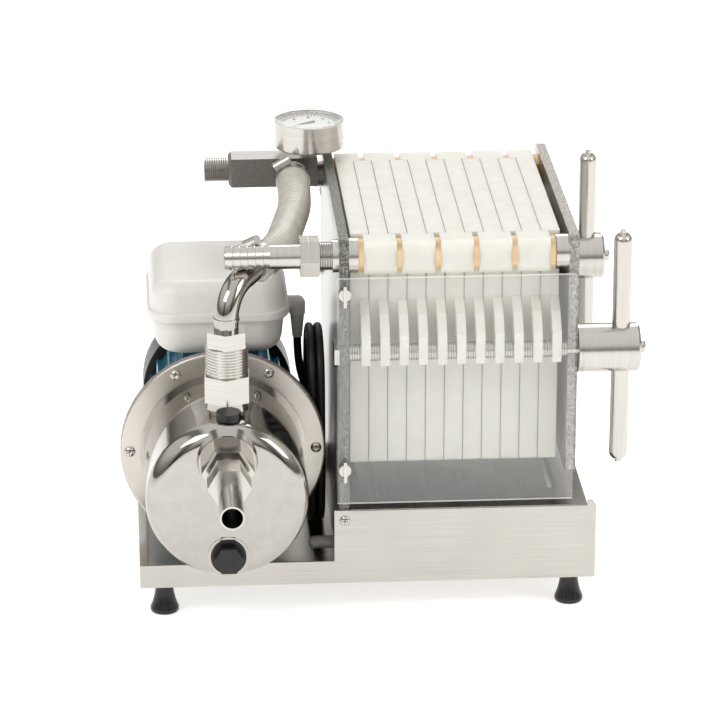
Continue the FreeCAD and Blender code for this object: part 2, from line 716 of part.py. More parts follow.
def make_feet():
    """Four flared rubber feet under the pan."""
    flare = "((foot_low_d - foot_top_d) / 2)"
    rise = "(foot_height - foot_band)"
    hollow = f"(({flare} * {flare} + {rise} * {rise}) / (2 * {flare}))"
    outline = [
        ("0", "0"),
        ("foot_low_d / 2 - foot_round", "0", "foot_round",
         ("foot_low_d / 2 - foot_round", "foot_round")),
        ("foot_low_d / 2", "foot_round"),
        ("foot_low_d / 2", "foot_band", hollow, (f"foot_top_d / 2 + {hollow}", "foot_height")),
        ("foot_top_d / 2", "foot_height"),
        ("0", "foot_height"),
    ]
    feet = []
    for index in range(FEET):
        x = "foot_in_x" if index % 2 == 0 else "base_len - foot_in_x"
        y = "base_front + foot_in_y" if index < 2 else f"{BASE_BACK} - foot_in_y"
        foot = body(f"foot_{index + 1}", x, y, "origin_z")
        section = sketch(foot, "XZ_Plane", f"foot_{index + 1}_section", [outline])
        revolve(foot, f"foot_{index + 1}_turned", section, "V_Axis")
        feet.append(foot)
    return group("rubber_feet", feet)


# ---------------------------------------------------------------------------------------------
# End plates, tie rods and clamp
# ---------------------------------------------------------------------------------------------

def make_end_plate(label, x, low, trim, rod_hole, port_hole):
    """Upright plate with rounded free corners and holes for rods and port pipes."""
    plate = body(label, x, "end_front", low)
    depth = f"(end_depth - {trim})"
    outline = rectangle(trim, "0", depth, f"end_top - {low}")
    section = sketch(plate, "YZ_Plane", label + "_outline", [outline])
    pad(plate, label + "_slab", section, "end_thick")

    def free_corner(edge):
        high = centre_of(edge).z > number(f"end_top - {low}") - 1
        return along(edge, 0) and (high or port_hole is None)

    round_edges(plate, label + "_corners", free_corner, "end_round")
    holes = [
        (f"{FRONT_ROD_Y} - end_front", f"rod_z - {low}", rod_hole),
        (f"{BACK_ROD_Y} - end_front", f"rod_z - {low}", rod_hole),
    ]
    if port_hole:
        holes.append((f"{FRONT_PORT_Y} - end_front", f"{PORT_Z} - {low}", port_hole))
        holes.append((f"{BACK_PORT_Y} - end_front", f"{PORT_Z} - {low}", port_hole))
    drilled = sketch(plate, "YZ_Plane", label + "_holes", holes)
    pocket(plate, label + "_drilling", drilled, "end_thick", reverse=True)
    return plate


def make_tie_rods():
    """Two threaded tie rods, fixed in the fixed end plate."""
    rods = []
    for side, y in (("front", FRONT_ROD_Y), ("back", BACK_ROD_Y)):
        shank = cylinder(f"{side}_rod_shank", "+x", "fixed_x", y, "rod_z",
                         f"{NUT_END} - nut_chamfer - fixed_x", "rod_d")
        head = hexagon(f"{side}_rod_head", "-x", "fixed_x", y, "rod_z", "rod_head_len",
                       "rod_head_af")
        stub = cylinder(f"{side}_rod_stub", "+x", NUT_START, y, "rod_z",
                        "nut_len + rod_proud - rod_tip", "rod_stub_d")
        tip = cone(f"{side}_rod_tip", "+x", f"{NUT_END} + rod_proud - rod_tip", y, "rod_z",
                   "rod_tip", "rod_stub_d", "rod_stub_d - 2 * rod_tip")
        rods.append(fuse(f"{side}_rod", [head, shank, stub, tip]))
    return group("tie_rods", rods)


def make_clamp_nut(side, y):
    """Threaded hub with a thrust collar, through-bored, with seats for the handle bars."""
    label = f"{side}_clamp_nut"
    nut = body(label, NUT_START, y, "rod_z")
    groove_end = "collar_len + collar_groove"
    outline = [
        ("0", "rod_d / 2 + seat_gap"),
        ("nut_len", "rod_d / 2 + seat_gap"),
        ("nut_len", "nut_d / 2 - nut_chamfer"),
        ("nut_len - nut_chamfer", "nut_d / 2"),
        (groove_end, "nut_d / 2"),
        (groove_end, "nut_d / 2 - collar_groove"),
        ("collar_len", "nut_d / 2 - collar_groove"),
        ("collar_len", "nut_d / 2"),
        ("0", "nut_d / 2"),
    ]
    section = sketch(nut, "XZ_Plane", label + "_section", [outline])
    revolve(nut, label + "_turned", section, "H_Axis")
    seat = sketch(nut, "XY_Plane", label + "_seat", [("bar_x", "0", "bar_d + 2 * fit_gap")],
                  offset="bar_seat")
    pocket(nut, label + "_upper_seat", seat, "nut_d", reverse=True)
    seat_below = sketch(nut, "XY_Plane", label + "_seat_below",
                        [("bar_x", "0", "bar_d + 2 * fit_gap")], offset="-bar_seat")
    pocket(nut, label + "_lower_seat", seat_below, "nut_d")
    return nut


def make_handle_bar(side, y):
    """Two bars with domed ends, screwed into the clamp nut from above and below."""
    bars = []
    x = f"{NUT_START} + bar_x"
    reach = f"{side}_bar_reach"
    for end, way, sign in (("upper", "+z", "+"), ("lower", "-z", "-")):
        name = f"{side}_{end}_bar"
        stem = cylinder(name + "_stem", way, x, y, f"rod_z {sign} (bar_seat + fit_gap)",
                        f"{reach} - bar_d / 2 - bar_seat - fit_gap", "bar_d")
        dome = ball(name + "_dome", x, y, f"rod_z {sign} ({reach} - bar_d / 2)", "bar_d")
        nub = cylinder(name + "_nub", way, x, y, f"rod_z {sign} ({reach} - nub_len)",
                       "2 * nub_len", "nub_d")
        bars.append(fuse(name, [stem, dome, nub]))
    return group(f"{side}_handle_bars", bars)


# ---------------------------------------------------------------------------------------------
# Filter plates, gaskets and bushes
# ---------------------------------------------------------------------------------------------

def hook_outline(sign, edge_y):
    """Side view of one hook; sign is -1 at the front and +1 at the back."""
    def at(out, up):
        return (f"{edge_y} + {sign} * ({out})", f"rod_z - plate_low + ({up})")
    saddle = "(rod_d / 2 + seat_gap)"
    return [
        at("-1", "hook_rise"),
        at("0", "hook_rise"),
        at("hook_reach * 0.55", "(hook_rise + hook_shoulder) / 2 + 3"),
        at("hook_reach", "hook_shoulder"),
        at("hook_reach", "-hook_low"),
        at(f"rod_out + {saddle}", "-hook_low"),
        at(f"rod_out + {saddle}", "0") + (saddle, at("rod_out", "0")),
        at("rod_out", saddle) + (saddle, at("rod_out", "0")),
        at(f"rod_out - {saddle}", "0"),
        at(f"rod_out - {saddle}", "-hook_low"),
        at("-1", "-hook_low"),
    ]


def make_filter_plate(index):
    """Moulded plate: drainage grooves on both faces, two hooks and one port ear."""
    label = f"filter_plate_{index:02d}"
    plate = body(label, plate_mid(index), "0", "plate_low")
    square = sketch(plate, "YZ_Plane", label + "_square",
                    [rectangle("0", "0", "plate_size", "plate_size")])
    pad(plate, label + "_slab", square, "plate_thick", sides="Symmetric")

    def lower_corner(edge):
        return along(edge, 0) and centre_of(edge).z < 1

    round_edges(plate, label + "_corners", lower_corner, "plate_round")

    front = index % 2 == 0
    edge_y = "0" if front else "plate_size"
    sign = "-1" if front else "1"

    def side(out, up):
        return (f"{edge_y} + {sign} * ({out})", f"plate_size - ({up})")

    neck = [side("-1", "0"), side("ear_gap + 1", "0"),
            side("ear_gap + 1", "ear_tall - 1"), side("-1", "ear_tall - 1")]
    neck_sketch = sketch(plate, "YZ_Plane", label + "_neck_outline", [neck])
    pad(plate, label + "_neck", neck_sketch, "plate_thick", sides="Symmetric")

    left_half = "plate_thick / 2" if index == 1 else "ear_width / 2"
    right_half = "plate_thick / 2" if index == PLATES else "ear_width / 2"
    ear = [side("ear_gap", "0"), side("ear_reach", "0"),
           side("ear_reach", "ear_tall - ear_round")
           + ("ear_round", side("ear_reach - ear_round", "ear_tall - ear_round")),
           side("ear_reach - ear_round", "ear_tall"), side("ear_gap", "ear_tall")]
    ear_sketch = sketch(plate, "YZ_Plane", label + "_ear_outline", [ear])
    pad(plate, label + "_ear", ear_sketch, right_half, sides="Two sides", back=left_half)

    hooks = sketch(plate, "YZ_Plane", label + "_hook_outline",
                   [hook_outline("-1", "0"), hook_outline("1", "plate_size")])
    pad(plate, label + "_hooks", hooks, "hook_thick")

    port_y = "-port_out" if front else "plate_size + port_out"
    port = sketch(plate, "YZ_Plane", label + "_port_circle",
                  [(port_y, "plate_size - port_drop", "port_d")])
    pocket(plate, label + "_port", port, "2 * ear_width", sides="Symmetric")

    first = f"(plate_size - {GROOVES - 1} * groove_pitch) / 2"
    grooves = []
    for face in ("-1", "1"):
        near = f"{face} * (plate_thick / 2 - groove_depth)"
        far = f"{face} * (plate_thick / 2 + 1)"
        grooves.append(rectangle(near, f"{first} - groove_width / 2",
                                 far, f"{first} + groove_width / 2"))
    groove_sketch = sketch(plate, "XY_Plane", label + "_groove_section", grooves,
                           offset="field_border")
    groove = pocket(plate, label + "_grooves", groove_sketch,
                    "plate_size - 2 * field_border", reverse=True)
    pattern = plate.newObject("PartDesign::LinearPattern", label + "_drainage")
    pattern.Originals = [groove]
    pattern.Direction = (plane(plate, "XZ_Plane"), [""])
    pattern.Reversed = True
    tie(pattern, Length=f"{GROOVES - 1} * groove_pitch")
    pattern.Occurrences = GROOVES
    plate.Tip = pattern
    doc.recompute()
    return plate


def make_flat(label, x, y, length, diameter):
    """What has to go from a disc so that it clears the filter plates' edges."""
    low = "-ear_gap" if y == FRONT_PORT_Y else "plate_size + ear_gap - port_d"
    return box(label, f"{x} - 1", low, f"{PORT_Z} - {diameter}", f"{length} + 2", "port_d",
               f"2 * {diameter}")


def make_ring(label, x, y, length, diameter):
    disc = cylinder(label + "_disc", "+x", x, y, PORT_Z, length, diameter)
    hole = cylinder(label + "_hole", "+x", f"{x} - 1", y, PORT_Z, f"{length} + 2", "port_d")
    return cut(label, disc, [hole, make_flat(label + "_flat", x, y, length, diameter)])


def make_gaskets():
    """Rings between the port ears, in both rows."""
    rings = []
    for side, y, first in (("front", FRONT_PORT_Y, 2), ("back", BACK_PORT_Y, 1)):
        for number_of_plate in range(first, PLATES - 1, 2):
            x = f"{plate_mid(number_of_plate)} + ear_width / 2"
            name = f"{side}_gasket_{number_of_plate}"
            rings.append(make_ring(name, x, y, GASKET_LEN, "gasket_d"))
    rings.append(make_ring("front_gasket_first", f"{plate_mid(2)} - ear_width / 2 - {GASKET_LEN}",
                           FRONT_PORT_Y, GASKET_LEN, "gasket_d"))
    rings.append(make_ring("front_gasket_last", f"{plate_mid(10)} + ear_width / 2",
                           FRONT_PORT_Y, GASKET_LEN, "gasket_d"))
    rings.append(make_ring("back_gasket_first", FIXED_IN, BACK_PORT_Y, "first_gap", "gasket_d"))
    last = f"{plate_mid(PLATES)} + plate_thick / 2"
    rings.append(make_ring("back_gasket_last", last, BACK_PORT_Y,
                           f"{PRESS_IN} - seat_gap - ({last})", "gasket_d"))
    return group("port_gaskets", rings)


def make_bushes():
    """Metal bushes that carry the front port row out to the end plates."""
    start = f"{plate_mid(2)} - ear_width / 2 - {GASKET_LEN}"
    outlet = make_ring("outlet_bush", FIXED_IN, FRONT_PORT_Y, f"{start} - {FIXED_IN}", "bush_d")
    end = f"{plate_mid(10)} + ear_width / 2 + {GASKET_LEN} + seat_gap"
    blind = cylinder("blind_bush_disc", "+x", end, FRONT_PORT_Y, PORT_Z,
                     f"{PRESS_IN} - ({end})", "bush_d")
    flat = make_flat("blind_bush_flat", end, FRONT_PORT_Y, f"({PRESS_IN} - ({end}))", "bush_d")
    blind = cut("blind_bush", blind, [flat])
    return outlet, blind


# ---------------------------------------------------------------------------------------------
# Drip tray, guards and wing screws
# ---------------------------------------------------------------------------------------------

def make_drip_tray():
    """Shallow tray with sloping walls and a flat rim that rests in both panels' seats."""
    tray = body("drip_tray", "0", "0", TRAY_SEAT)
    x0, x1 = "tray_start", "tray_end"
    y0, y1 = "base_front - tray_over", f"{BASE_BACK} + tray_over"
    rim = sketch(tray, "XY_Plane", "tray_rim_outline", [rectangle(x0, y0, x1, y1)])
    pad(tray, "tray_rim", rim, "tray_sheet")

    def mouth(inset):
        return rectangle(f"{x0} + tray_left_rim + {inset}", f"{y0} + tray_front_rim + {inset}",
                         f"{x1} - tray_side_rim - {inset}", f"{y1} - tray_back_rim - {inset}")

    def loft(kind, name, upper, upper_z, lower, lower_z):
        high = sketch(tray, "XY_Plane", name + "_upper", [mouth(upper)], offset=upper_z)
        low = sketch(tray, "XY_Plane", name + "_lower", [mouth(lower)], offset=lower_z)
        piece = tray.newObject("PartDesign::" + kind, name)
        piece.Profile = high
        piece.Sections = [low]
        piece.Ruled = True
        doc.recompute()

    loft("AdditiveLoft", "tray_bowl", "0", "tray_sheet", "tray_slope", "-tray_deep")
    loft("SubtractiveLoft", "tray_hollow", "tray_sheet", "tray_sheet",
         "tray_slope + tray_sheet", "tray_sheet - tray_deep")
    return tray


def make_guard(label, y, top, clipped):
    """Clear sheet on the fixed end plate's edge, with holes for the wing screws."""
    guard = body(label, "0", y, "0")
    if clipped:
        outline = [("guard_start", "guard_low"), ("guard_end", "guard_low"),
                   ("guard_end", f"{top} - guard_clip"), ("guard_end - guard_clip", top),
                   ("guard_start + guard_clip", top), ("guard_start", f"{top} - guard_clip")]
    else:
        outline = rectangle("guard_start", "guard_low", "guard_end", top)
    holes = [("fixed_x + end_thick / 2", height, "wing_head_d / 2")
             for height in ("wing_high", "wing_lower")]
    section = sketch(guard, "XZ_Plane", label + "_outline", [outline] + holes)
    pad(guard, label + "_sheet", section, "guard_thick")
    return guard


def make_wing_screws():
    """Wing screws through both guards into the fixed end plate's edges, with spacers."""
    screws = []
    x = "fixed_x + end_thick / 2"
    for side, edge, sign, way in (("front", "end_front", "-", "-y"), ("back", END_BACK, "+", "+y")):
        for level, z in (("upper", "wing_high"), ("lower", "wing_lower")):
            name = f"{side}_{level}_screw"
            face = f"{edge} {sign} (guard_air + guard_thick)"
            spacer = cylinder(name + "_spacer", way, x, edge, z, "guard_air", "wing_head_d")
            shank = cylinder(name + "_shank", way, x, edge, z, "guard_air + guard_thick",
                             "wing_head_d / 2 - 2 * fit_gap")
            head = cylinder(name + "_head", way, x, face, z, "wing_head_len", "wing_head_d")
            low_y = f"{face} - wing_depth" if sign == "-" else face
            wings = box(name + "_wings", f"{x} - wing_thick / 2", low_y, f"{z} - wing_span / 2",
                        "wing_thick", "wing_depth", "wing_span")
            screws.append(fuse(name, [spacer, shank, head, wings]))
    return group("guard_wing_screws", screws)


# ---------------------------------------------------------------------------------------------
# Outlet hose tail and feed manifold
# ---------------------------------------------------------------------------------------------

def barbed_outline(length, plain_from):
    """Half section of a barbed tube along +u, its open end at u = 0."""
    points = [("0", "tail_bore / 2"), ("0", "tail_d / 2 - barb_cut")]
    for barb in range(BARBS):
        crest = f"({barb} + 1) * barb_pitch"
        points.append((f"{crest} - 0.6", "tail_d / 2"))
        points.append((f"{crest}", "tail_d / 2"))
        if barb < BARBS - 1:
            points.append((f"{crest}", "tail_d / 2 - barb_cut"))
    points.append((length, "tail_d / 2"))
    points.append((length, "tail_bore / 2"))
    return points


def make_outlet_tail():
    """Hose tail, nut, thread and collar on the fixed end plate's front port."""
    plate_side = f"fixed_x - tail_collar_len - tail_thread_len"
    nut_x = f"{plate_side} - tail_nut_len"
    tail = body("outlet_tail_tube", f"{nut_x} - tail_len", FRONT_PORT_Y, PORT_Z)
    section = sketch(tail, "XZ_Plane", "outlet_tail_section",
                     [barbed_outline("tail_len + tail_nut_len", "tail_len")])
    revolve(tail, "outlet_tail_turned", section, "H_Axis")
    nut = hexagon("outlet_tail_nut", "+x", nut_x, FRONT_PORT_Y, PORT_Z, "tail_nut_len",
                  "tail_nut_af", spin=30)
    thread = cylinder("outlet_tail_thread", "+x", f"{nut_x} + tail_nut_len / 2", FRONT_PORT_Y,
                      PORT_Z, "tail_thread_len + tail_nut_len / 2", "tail_thread_d")
    collar = cylinder("outlet_tail_collar", "+x", "fixed_x - tail_collar_len", FRONT_PORT_Y,
                      PORT_Z, "tail_collar_len", "tail_collar_d")
    nipple = cylinder("outlet_tail_nipple", "+x", "fixed_x - 1", FRONT_PORT_Y, PORT_Z,
                      "end_thick + 1", "port_d + 4")
    bore = cylinder("outlet_tail_bore", "+x", f"{nut_x} - 1", FRONT_PORT_Y, PORT_Z,
                    "tail_nut_len + tail_thread_len + tail_collar_len + end_thick + 2",
                    "tail_bore")
    solid = fuse("outlet_tail_solid", [tail, nut, thread, collar, nipple])
    return cut("outlet_hose_tail", solid, [bore])


def make_manifold():
    """Square feed block beside the back port, with a spigot, a hose tail and a neck."""
    y = BACK_PORT_Y
    block = body("manifold_cube", "block_start", y, BLOCK_Z)
    half = "block_size / 2"
    section = sketch(block, "YZ_Plane", "manifold_section",
                     [rectangle(f"-{half}", f"-{half}", half, half)])
    pad(block, "manifold_bar", section, "block_end - block_start")

    def left_rim(edge):
        return edge.BoundBox.XMax < 1e-6

    round_edges(block, "manifold_clip", left_rim, "block_clip", kind="Chamfer")
    overlap = "block_clip"
    spigot = cylinder("manifold_spigot", "+x", "block_start - spigot_len", y, BLOCK_Z,
                      f"spigot_len + {overlap}", "spigot_d")
    neck = cylinder("manifold_neck", "+x", f"block_end - {overlap}", y, PORT_Z,
                    f"fixed_x + end_thick - block_end + {overlap}", "port_d + 4")
    collar = cylinder("manifold_collar", "+x", f"block_end - {overlap}", y, PORT_Z,
                      f"fixed_x - block_end + {overlap}", "neck_d")
    tail = cylinder("manifold_tail", "-y", "feed_x", f"{BLOCK_FRONT} + {overlap}", BLOCK_Z,
                    f"feed_tail_len + {overlap}", "tail_d")
    solid = fuse("manifold_solid", [block, spigot, neck, collar, tail])
    bore = cylinder("manifold_bore", "+x", "block_start - spigot_len - 1", y, BLOCK_Z,
                    "block_end - block_clip - block_start + spigot_len + 1", "block_bore")
    neck_bore = cylinder("manifold_neck_bore", "+x", "block_end - block_bore", y, PORT_Z,
                         "fixed_x + end_thick - block_end + block_bore + 1", "feed_bore")
    tail_bore = cylinder("manifold_tail_bore", "-y", "feed_x", y, BLOCK_Z,
                         f"{half} + feed_tail_len + 1", "feed_bore")
    return cut("manifold_block", solid, [bore, neck_bore, tail_bore])


def make_gauge():
    """Pressure gauge that stands on the manifold: stem and case, and its clear lens."""
    y = BACK_PORT_Y
    case = body("gauge_drum", "gauge_x", y, "gauge_low")
    outline = [("0", "0"), ("gauge_d / 2", "0"), ("gauge_d / 2", "gauge_tall"),
               ("gauge_d / 2 - gauge_wall", "gauge_tall"),
               ("gauge_d / 2 - gauge_wall", "gauge_tall - dial_drop"),
               ("0", "gauge_tall - dial_drop")]
    section = sketch(case, "XZ_Plane", "gauge_section", [outline])
    revolve(case, "gauge_turned", section, "V_Axis")

    def lower_rim(edge):
        return edge.BoundBox.ZMax < 1e-6 and edge.BoundBox.XLength > 1

    round_edges(case, "gauge_rim", lower_rim, "gauge_round")
    top = f"({BLOCK_Z} + block_size / 2)"
    stem = cylinder("gauge_stem", "+z", "gauge_x", y, top, f"gauge_low - {top} + 0.5",
                    "gauge_stem_d")
    flats = hexagon("gauge_flats", "+z", "gauge_x", y, f"gauge_low - 5", "5.5", "gauge_stem_af")
    whole = fuse("gauge_case", [case, stem, flats])
    lens = body("gauge_lens", "gauge_x", y, "gauge_low + gauge_tall")
    cap = [("0", "0"), ("lens_d / 2", "0"), ("lens_d / 2", "lens_tall"), ("0", "lens_tall")]
    lens_section = sketch(lens, "XZ_Plane", "lens_section", [cap])
    revolve(lens, "lens_turned", lens_section, "V_Axis")

    def upper_rim(edge):
        place = edge.BoundBox
        return place.ZMin > number("lens_tall") - 1e-6 and place.XLength > 1

    round_edges(lens, "lens_rim", upper_rim, "lens_round")
    return whole, lens


# ---------------------------------------------------------------------------------------------
# Pump
# ---------------------------------------------------------------------------------------------

def make_pump_flange():
    """Round lantern flange between the motor and the pump casing."""
    flange = body("pump_flange", "pump_x", "flange_y", "pump_z")
    disc = sketch(flange, "XZ_Plane", "flange_circle", [("0", "0", "flange_d")])
    pad(flange, "flange_disc", disc, "flange_thick", reverse=True)

    def front_rim(edge):
        return edge.BoundBox.YMax < 1e-6

    round_edges(flange, "flange_rim", front_rim, "flange_edge")
    return flange


def make_pump_casing():
    """Deep-drawn casing with a domed front, an inlet boss, a drain seat and an outlet boss."""
    shell = body("casing_shell", "pump_x", "0", "pump_z")
    edge_u = "(casing_d / 2 - casing_round)"
    dome = (f"(({edge_u} * {edge_u} - casing_round * casing_round + casing_deep * casing_deep)"
            " / (2 * (casing_deep - casing_round)))")
    reach = f"({dome} / ({dome} - casing_round))"
    outline = [
        ("0", "flange_y"),
        ("bead_d / 2", "flange_y"),
        ("bead_d / 2", "flange_y - bead_thick"),
        ("casing_d / 2", "flange_y - bead_thick"),
        ("casing_d / 2", "casing_front + casing_deep", "casing_round",
         (edge_u, "casing_front + casing_deep")),
        (f"{edge_u} * {reach}", f"casing_front + {dome} + (casing_deep - {dome}) * {reach}",
         dome, ("0", f"casing_front + {dome}")),
        ("0", "casing_front"),
    ]
    section = sketch(shell, "XY_Plane", "casing_section", [outline])
    revolve(shell, "casing_turned", section, "V_Axis")
    boss = cylinder("inlet_boss", "-y", "pump_x", "casing_front + casing_deep / 2", INLET_Z,
                    "boss_proud + casing_deep / 2", "boss_d")
    skirt = cone("inlet_skirt", "-y", "pump_x", "casing_front + boss_skirt_len + 1", INLET_Z,
                 "boss_skirt_len", "boss_skirt_d", "boss_d")
    seat = cylinder("drain_seat", "-y", "pump_x", "casing_front + casing_deep / 2",
                    "pump_z - drain_down", "drain_seat_proud + casing_deep / 2", "drain_seat_d")
    outlet = cone("outlet_boss", "+z", "outlet_x", "outlet_y", "pump_z + casing_d / 4",
                  "outlet_boss_top - pump_z - casing_d / 4", "outlet_base_d", "outlet_top_d")
    return fuse("pump_casing", [shell, boss, skirt, seat, outlet])


def make_inlet():
    """Inlet coupling and suction hose tail in front of the casing."""
    coupling_solid = hexagon("coupling_hex", "-y", "pump_x", BOSS_Y, INLET_Z, "coupling_len",
                             "coupling_af")
    coupling_bore = cylinder("coupling_bore", "-y", "pump_x", f"{BOSS_Y} + 1", INLET_Z,
                             "coupling_len + 2", "inlet_neck_d")
    coupling = cut("inlet_coupling", coupling_solid, [coupling_bore])
    neck = cylinder("inlet_neck", "-y", "pump_x", BOSS_Y, INLET_Z,
                    "coupling_len + inlet_neck_len + 1", "inlet_neck_d")
    nut = hexagon("inlet_hex", "-y", "pump_x", f"{COUPLING_Y} - inlet_neck_len", INLET_Z,
                  "inlet_hex_len", "inlet_hex_af")
    pipe = cylinder("inlet_tube", "-y", "pump_x", f"{INLET_HEX_Y} + 1", INLET_Z,
                    "inlet_tube_len + 1", "inlet_tube_d")
    bore = cylinder("inlet_bore", "-y", "pump_x", f"{BOSS_Y} + 1", INLET_Z,
                    "coupling_len + inlet_neck_len + inlet_hex_len + inlet_tube_len + 2",
                    "inlet_tube_bore")
    tail = cut("suction_hose_tail", fuse("suction_solid", [neck, nut, pipe]), [bore])
    return coupling, tail


def make_outlet():
    """Hexagonal socket, threaded collar and union nut on the casing's outlet boss."""
    socket = hexagon("outlet_socket", "+z", "outlet_x", "outlet_y", "outlet_boss_top",
                     "socket_len", "socket_af", spin=SOCKET_SPIN)
    collar = cylinder("outlet_collar", "+z", "outlet_x", "outlet_y",
                      "outlet_boss_top + socket_len", "spigot_thread_len", "spigot_thread_d")
    nut = hexagon("outlet_nut", "+z", "outlet_x", "outlet_y", UNION_LOW, "union_len",
                  "union_af", spin=SOCKET_SPIN)
    bore = cylinder("outlet_nut_bore", "+z", "outlet_x", "outlet_y", UNION_LOW,
                    "union_len + 1", "elbow_d")
    return cut("pump_outlet_union", fuse("outlet_union_solid", [socket, collar, nut]), [bore])


def elbow_points():
    """Corner points of the outlet elbow, in the part's frame."""
    foot = point("outlet_x", "outlet_y", UNION_LOW)
    corner = point("outlet_x", "outlet_y", f"{UNION_TOP} + elbow_rise")
    run = Vector(number("elbow_dx"), number("elbow_dy"), number("elbow_dz"))
    return [foot, corner, corner + run]


def make_elbow():
    """Bent steel tube from the union to the feed hose, with a weld bead over the nut."""
    path = run_with_bends(elbow_points(), [number("elbow_bend")])
    weld_start = point("outlet_x", "outlet_y", f"{UNION_TOP} + weld_up")
    weld = Part.makeCylinder(number("weld_d") / 2, number("weld_len"), weld_start)
    solid = tube(path, number("elbow_d")).fuse(weld).removeSplitter()
    return at_origin("pump_elbow", solid.cut(tube(path, number("elbow_bore"))))


def hose_points():
    """Corner points of the feed hose, from the elbow's end to the manifold's hose tail."""
    corner, tip = elbow_points()[1:]
    heading = (tip - corner).normalize()
    end_y = f"({BLOCK_FRONT} - hose_off)"
    return [
        tip - heading * number("hose_grip"),
        tip + heading * number("hose_lead"),
        point("feed_x - 1", "hose_knee_y", f"{BLOCK_Z} - hose_knee_drop"),
        point("feed_x", f"{end_y} - hose_last", BLOCK_Z),
        point("feed_x", end_y, BLOCK_Z),
    ]


def make_feed_hose():
    """Clear reinforced hose from the pump's elbow to the manifold."""
    outside = bar_along("feed hose", hose_points(), number("hose_d"))
    inside = bar_along("feed hose bore", hose_points(), number("hose_bore"))
    return at_origin("feed_hose", outside.cut(inside))


def make_hose_clamps():
    """Worm-drive clamps over both ends of the feed hose, their screws leaning to the left."""
    route = hose_points()
    inner = number("hose_d") / 2
    outer = inner + number("clamp_thick")
    wide = number("clamp_wide")
    radius = number("clamp_screw_d") / 2
    length = number("clamp_screw_len")
    lean = math.radians(number("clamp_lean"))
    clamps = []
    for start, following in ((route[0], route[1]), (route[-1], route[-2])):
        heading = (following - start).normalize()
        low = start + heading * (number("hose_grip") - wide) * 0.5
        band = Part.makeCylinder(outer, wide, low, heading)
        band = band.cut(Part.makeCylinder(inner, wide, low, heading))
        across = Vector(0, 0, 1).cross(heading).normalize()
        if across.x > 0:
            across = across * -1
        lift = (Vector(0, 0, 1) - heading * heading.z).normalize()
        normal = lift * math.cos(lean) + across * math.sin(lean)
        tangent = across * math.cos(lean) - lift * math.sin(lean)
        centre = low + heading * (wide / 2) + normal * (outer + radius - number("clamp_thick") / 2)
        screw = Part.makeCylinder(radius, length, centre - tangent * (length / 2), tangent)
        hole = Part.makeCylinder(inner, 3 * wide, low - heading * wide, heading)
        clamps.append(band.fuse(screw.cut(hole)).removeSplitter())
    return at_origin("hose_clamps", Part.makeCompound(clamps))


def make_plugs():
    """Black priming and drain plugs, the latter over a washer."""
    washer = cylinder("drain_washer", "-y", "pump_x", DRAIN_Y, "pump_z - drain_down",
                      "washer_len", "washer_d")
    head = hexagon("drain_plug_hex", "-y", "pump_x", f"{DRAIN_Y} - washer_len",
                   "pump_z - drain_down", "plug_len", "plug_af")
    priming = cylinder("priming_plug_head", "+z", "outlet_x", "prime_y", "prime_low",
                       "prime_top - prime_low", "prime_d")
    cavity = cylinder("casing_under_plug", "+y", "pump_x", "prime_y - prime_d", "pump_z",
                      "2 * prime_d", "casing_d")
    return group("pump_plugs", [fuse("drain_plug", [washer, head]),
                                cut("priming_plug", priming, [cavity])])


# ---------------------------------------------------------------------------------------------
# Motor and control box
# ---------------------------------------------------------------------------------------------

def make_motor():
    """Finned motor frame on a foot that stands on the pan."""
    frame = body("motor_frame", "pump_x", MOTOR_Y, "pump_z")
    circle = sketch(frame, "XZ_Plane", "motor_circle", [("0", "0", "motor_d")])
    pad(frame, "motor_drum", circle, "motor_len", reverse=True)
    fin_low, fin_high = "motor_d / 2 - 2", "motor_d / 2 + fin_height"
    fin = sketch(frame, "XZ_Plane", "fin_outline",
                 [rectangle(fin_low, "-fin_thick / 2", fin_high, "fin_thick / 2")])
    rib = pad(frame, "motor_fin", fin, "motor_len - 6", reverse=True)
    fins = frame.newObject("PartDesign::PolarPattern", "motor_fins")
    fins.Originals = [rib]
    fins.Axis = (fin, ["N_Axis"])
    fins.Angle = 360
    fins.Occurrences = FINS
    frame.Tip = fins
    doc.recompute()
    middle = f"{MOTOR_Y} + motor_len / 2 - pad_deep / 2"
    sole = box("motor_sole", "pump_x - pad_wide / 2", middle, SHEET_TOP, "pad_wide", "pad_deep",
               "pad_thick")
    stem = box("motor_stem", "pump_x - pad_web / 2", middle, SHEET_TOP, "pad_web", "pad_deep",
               f"pump_z - {SHEET_TOP} - motor_d / 4")
    crown = "pump_z + motor_d / 2 - 8"
    neck = box("motor_neck", "pump_x - neck_wide / 2", "box_y + box_deep / 2 - neck_deep / 2",
               crown, "neck_wide", "neck_deep", f"box_low - ({crown})")
    return fuse("motor_body", [frame, sole, stem, neck])


def make_fan_cowl():
    """Round fan cowl behind the motor."""
    cowl = body("fan_cowl", "pump_x", f"{MOTOR_Y} + motor_len", "pump_z")
    circle = sketch(cowl, "XZ_Plane", "cowl_circle", [("0", "0", "cowl_d")])
    pad(cowl, "cowl_drum", circle, "cowl_len", reverse=True)

    def back_rim(edge):
        return edge.BoundBox.YMin > number("cowl_len") - 1e-6

    round_edges(cowl, "cowl_edge", back_rim, "cowl_round")
    return cowl


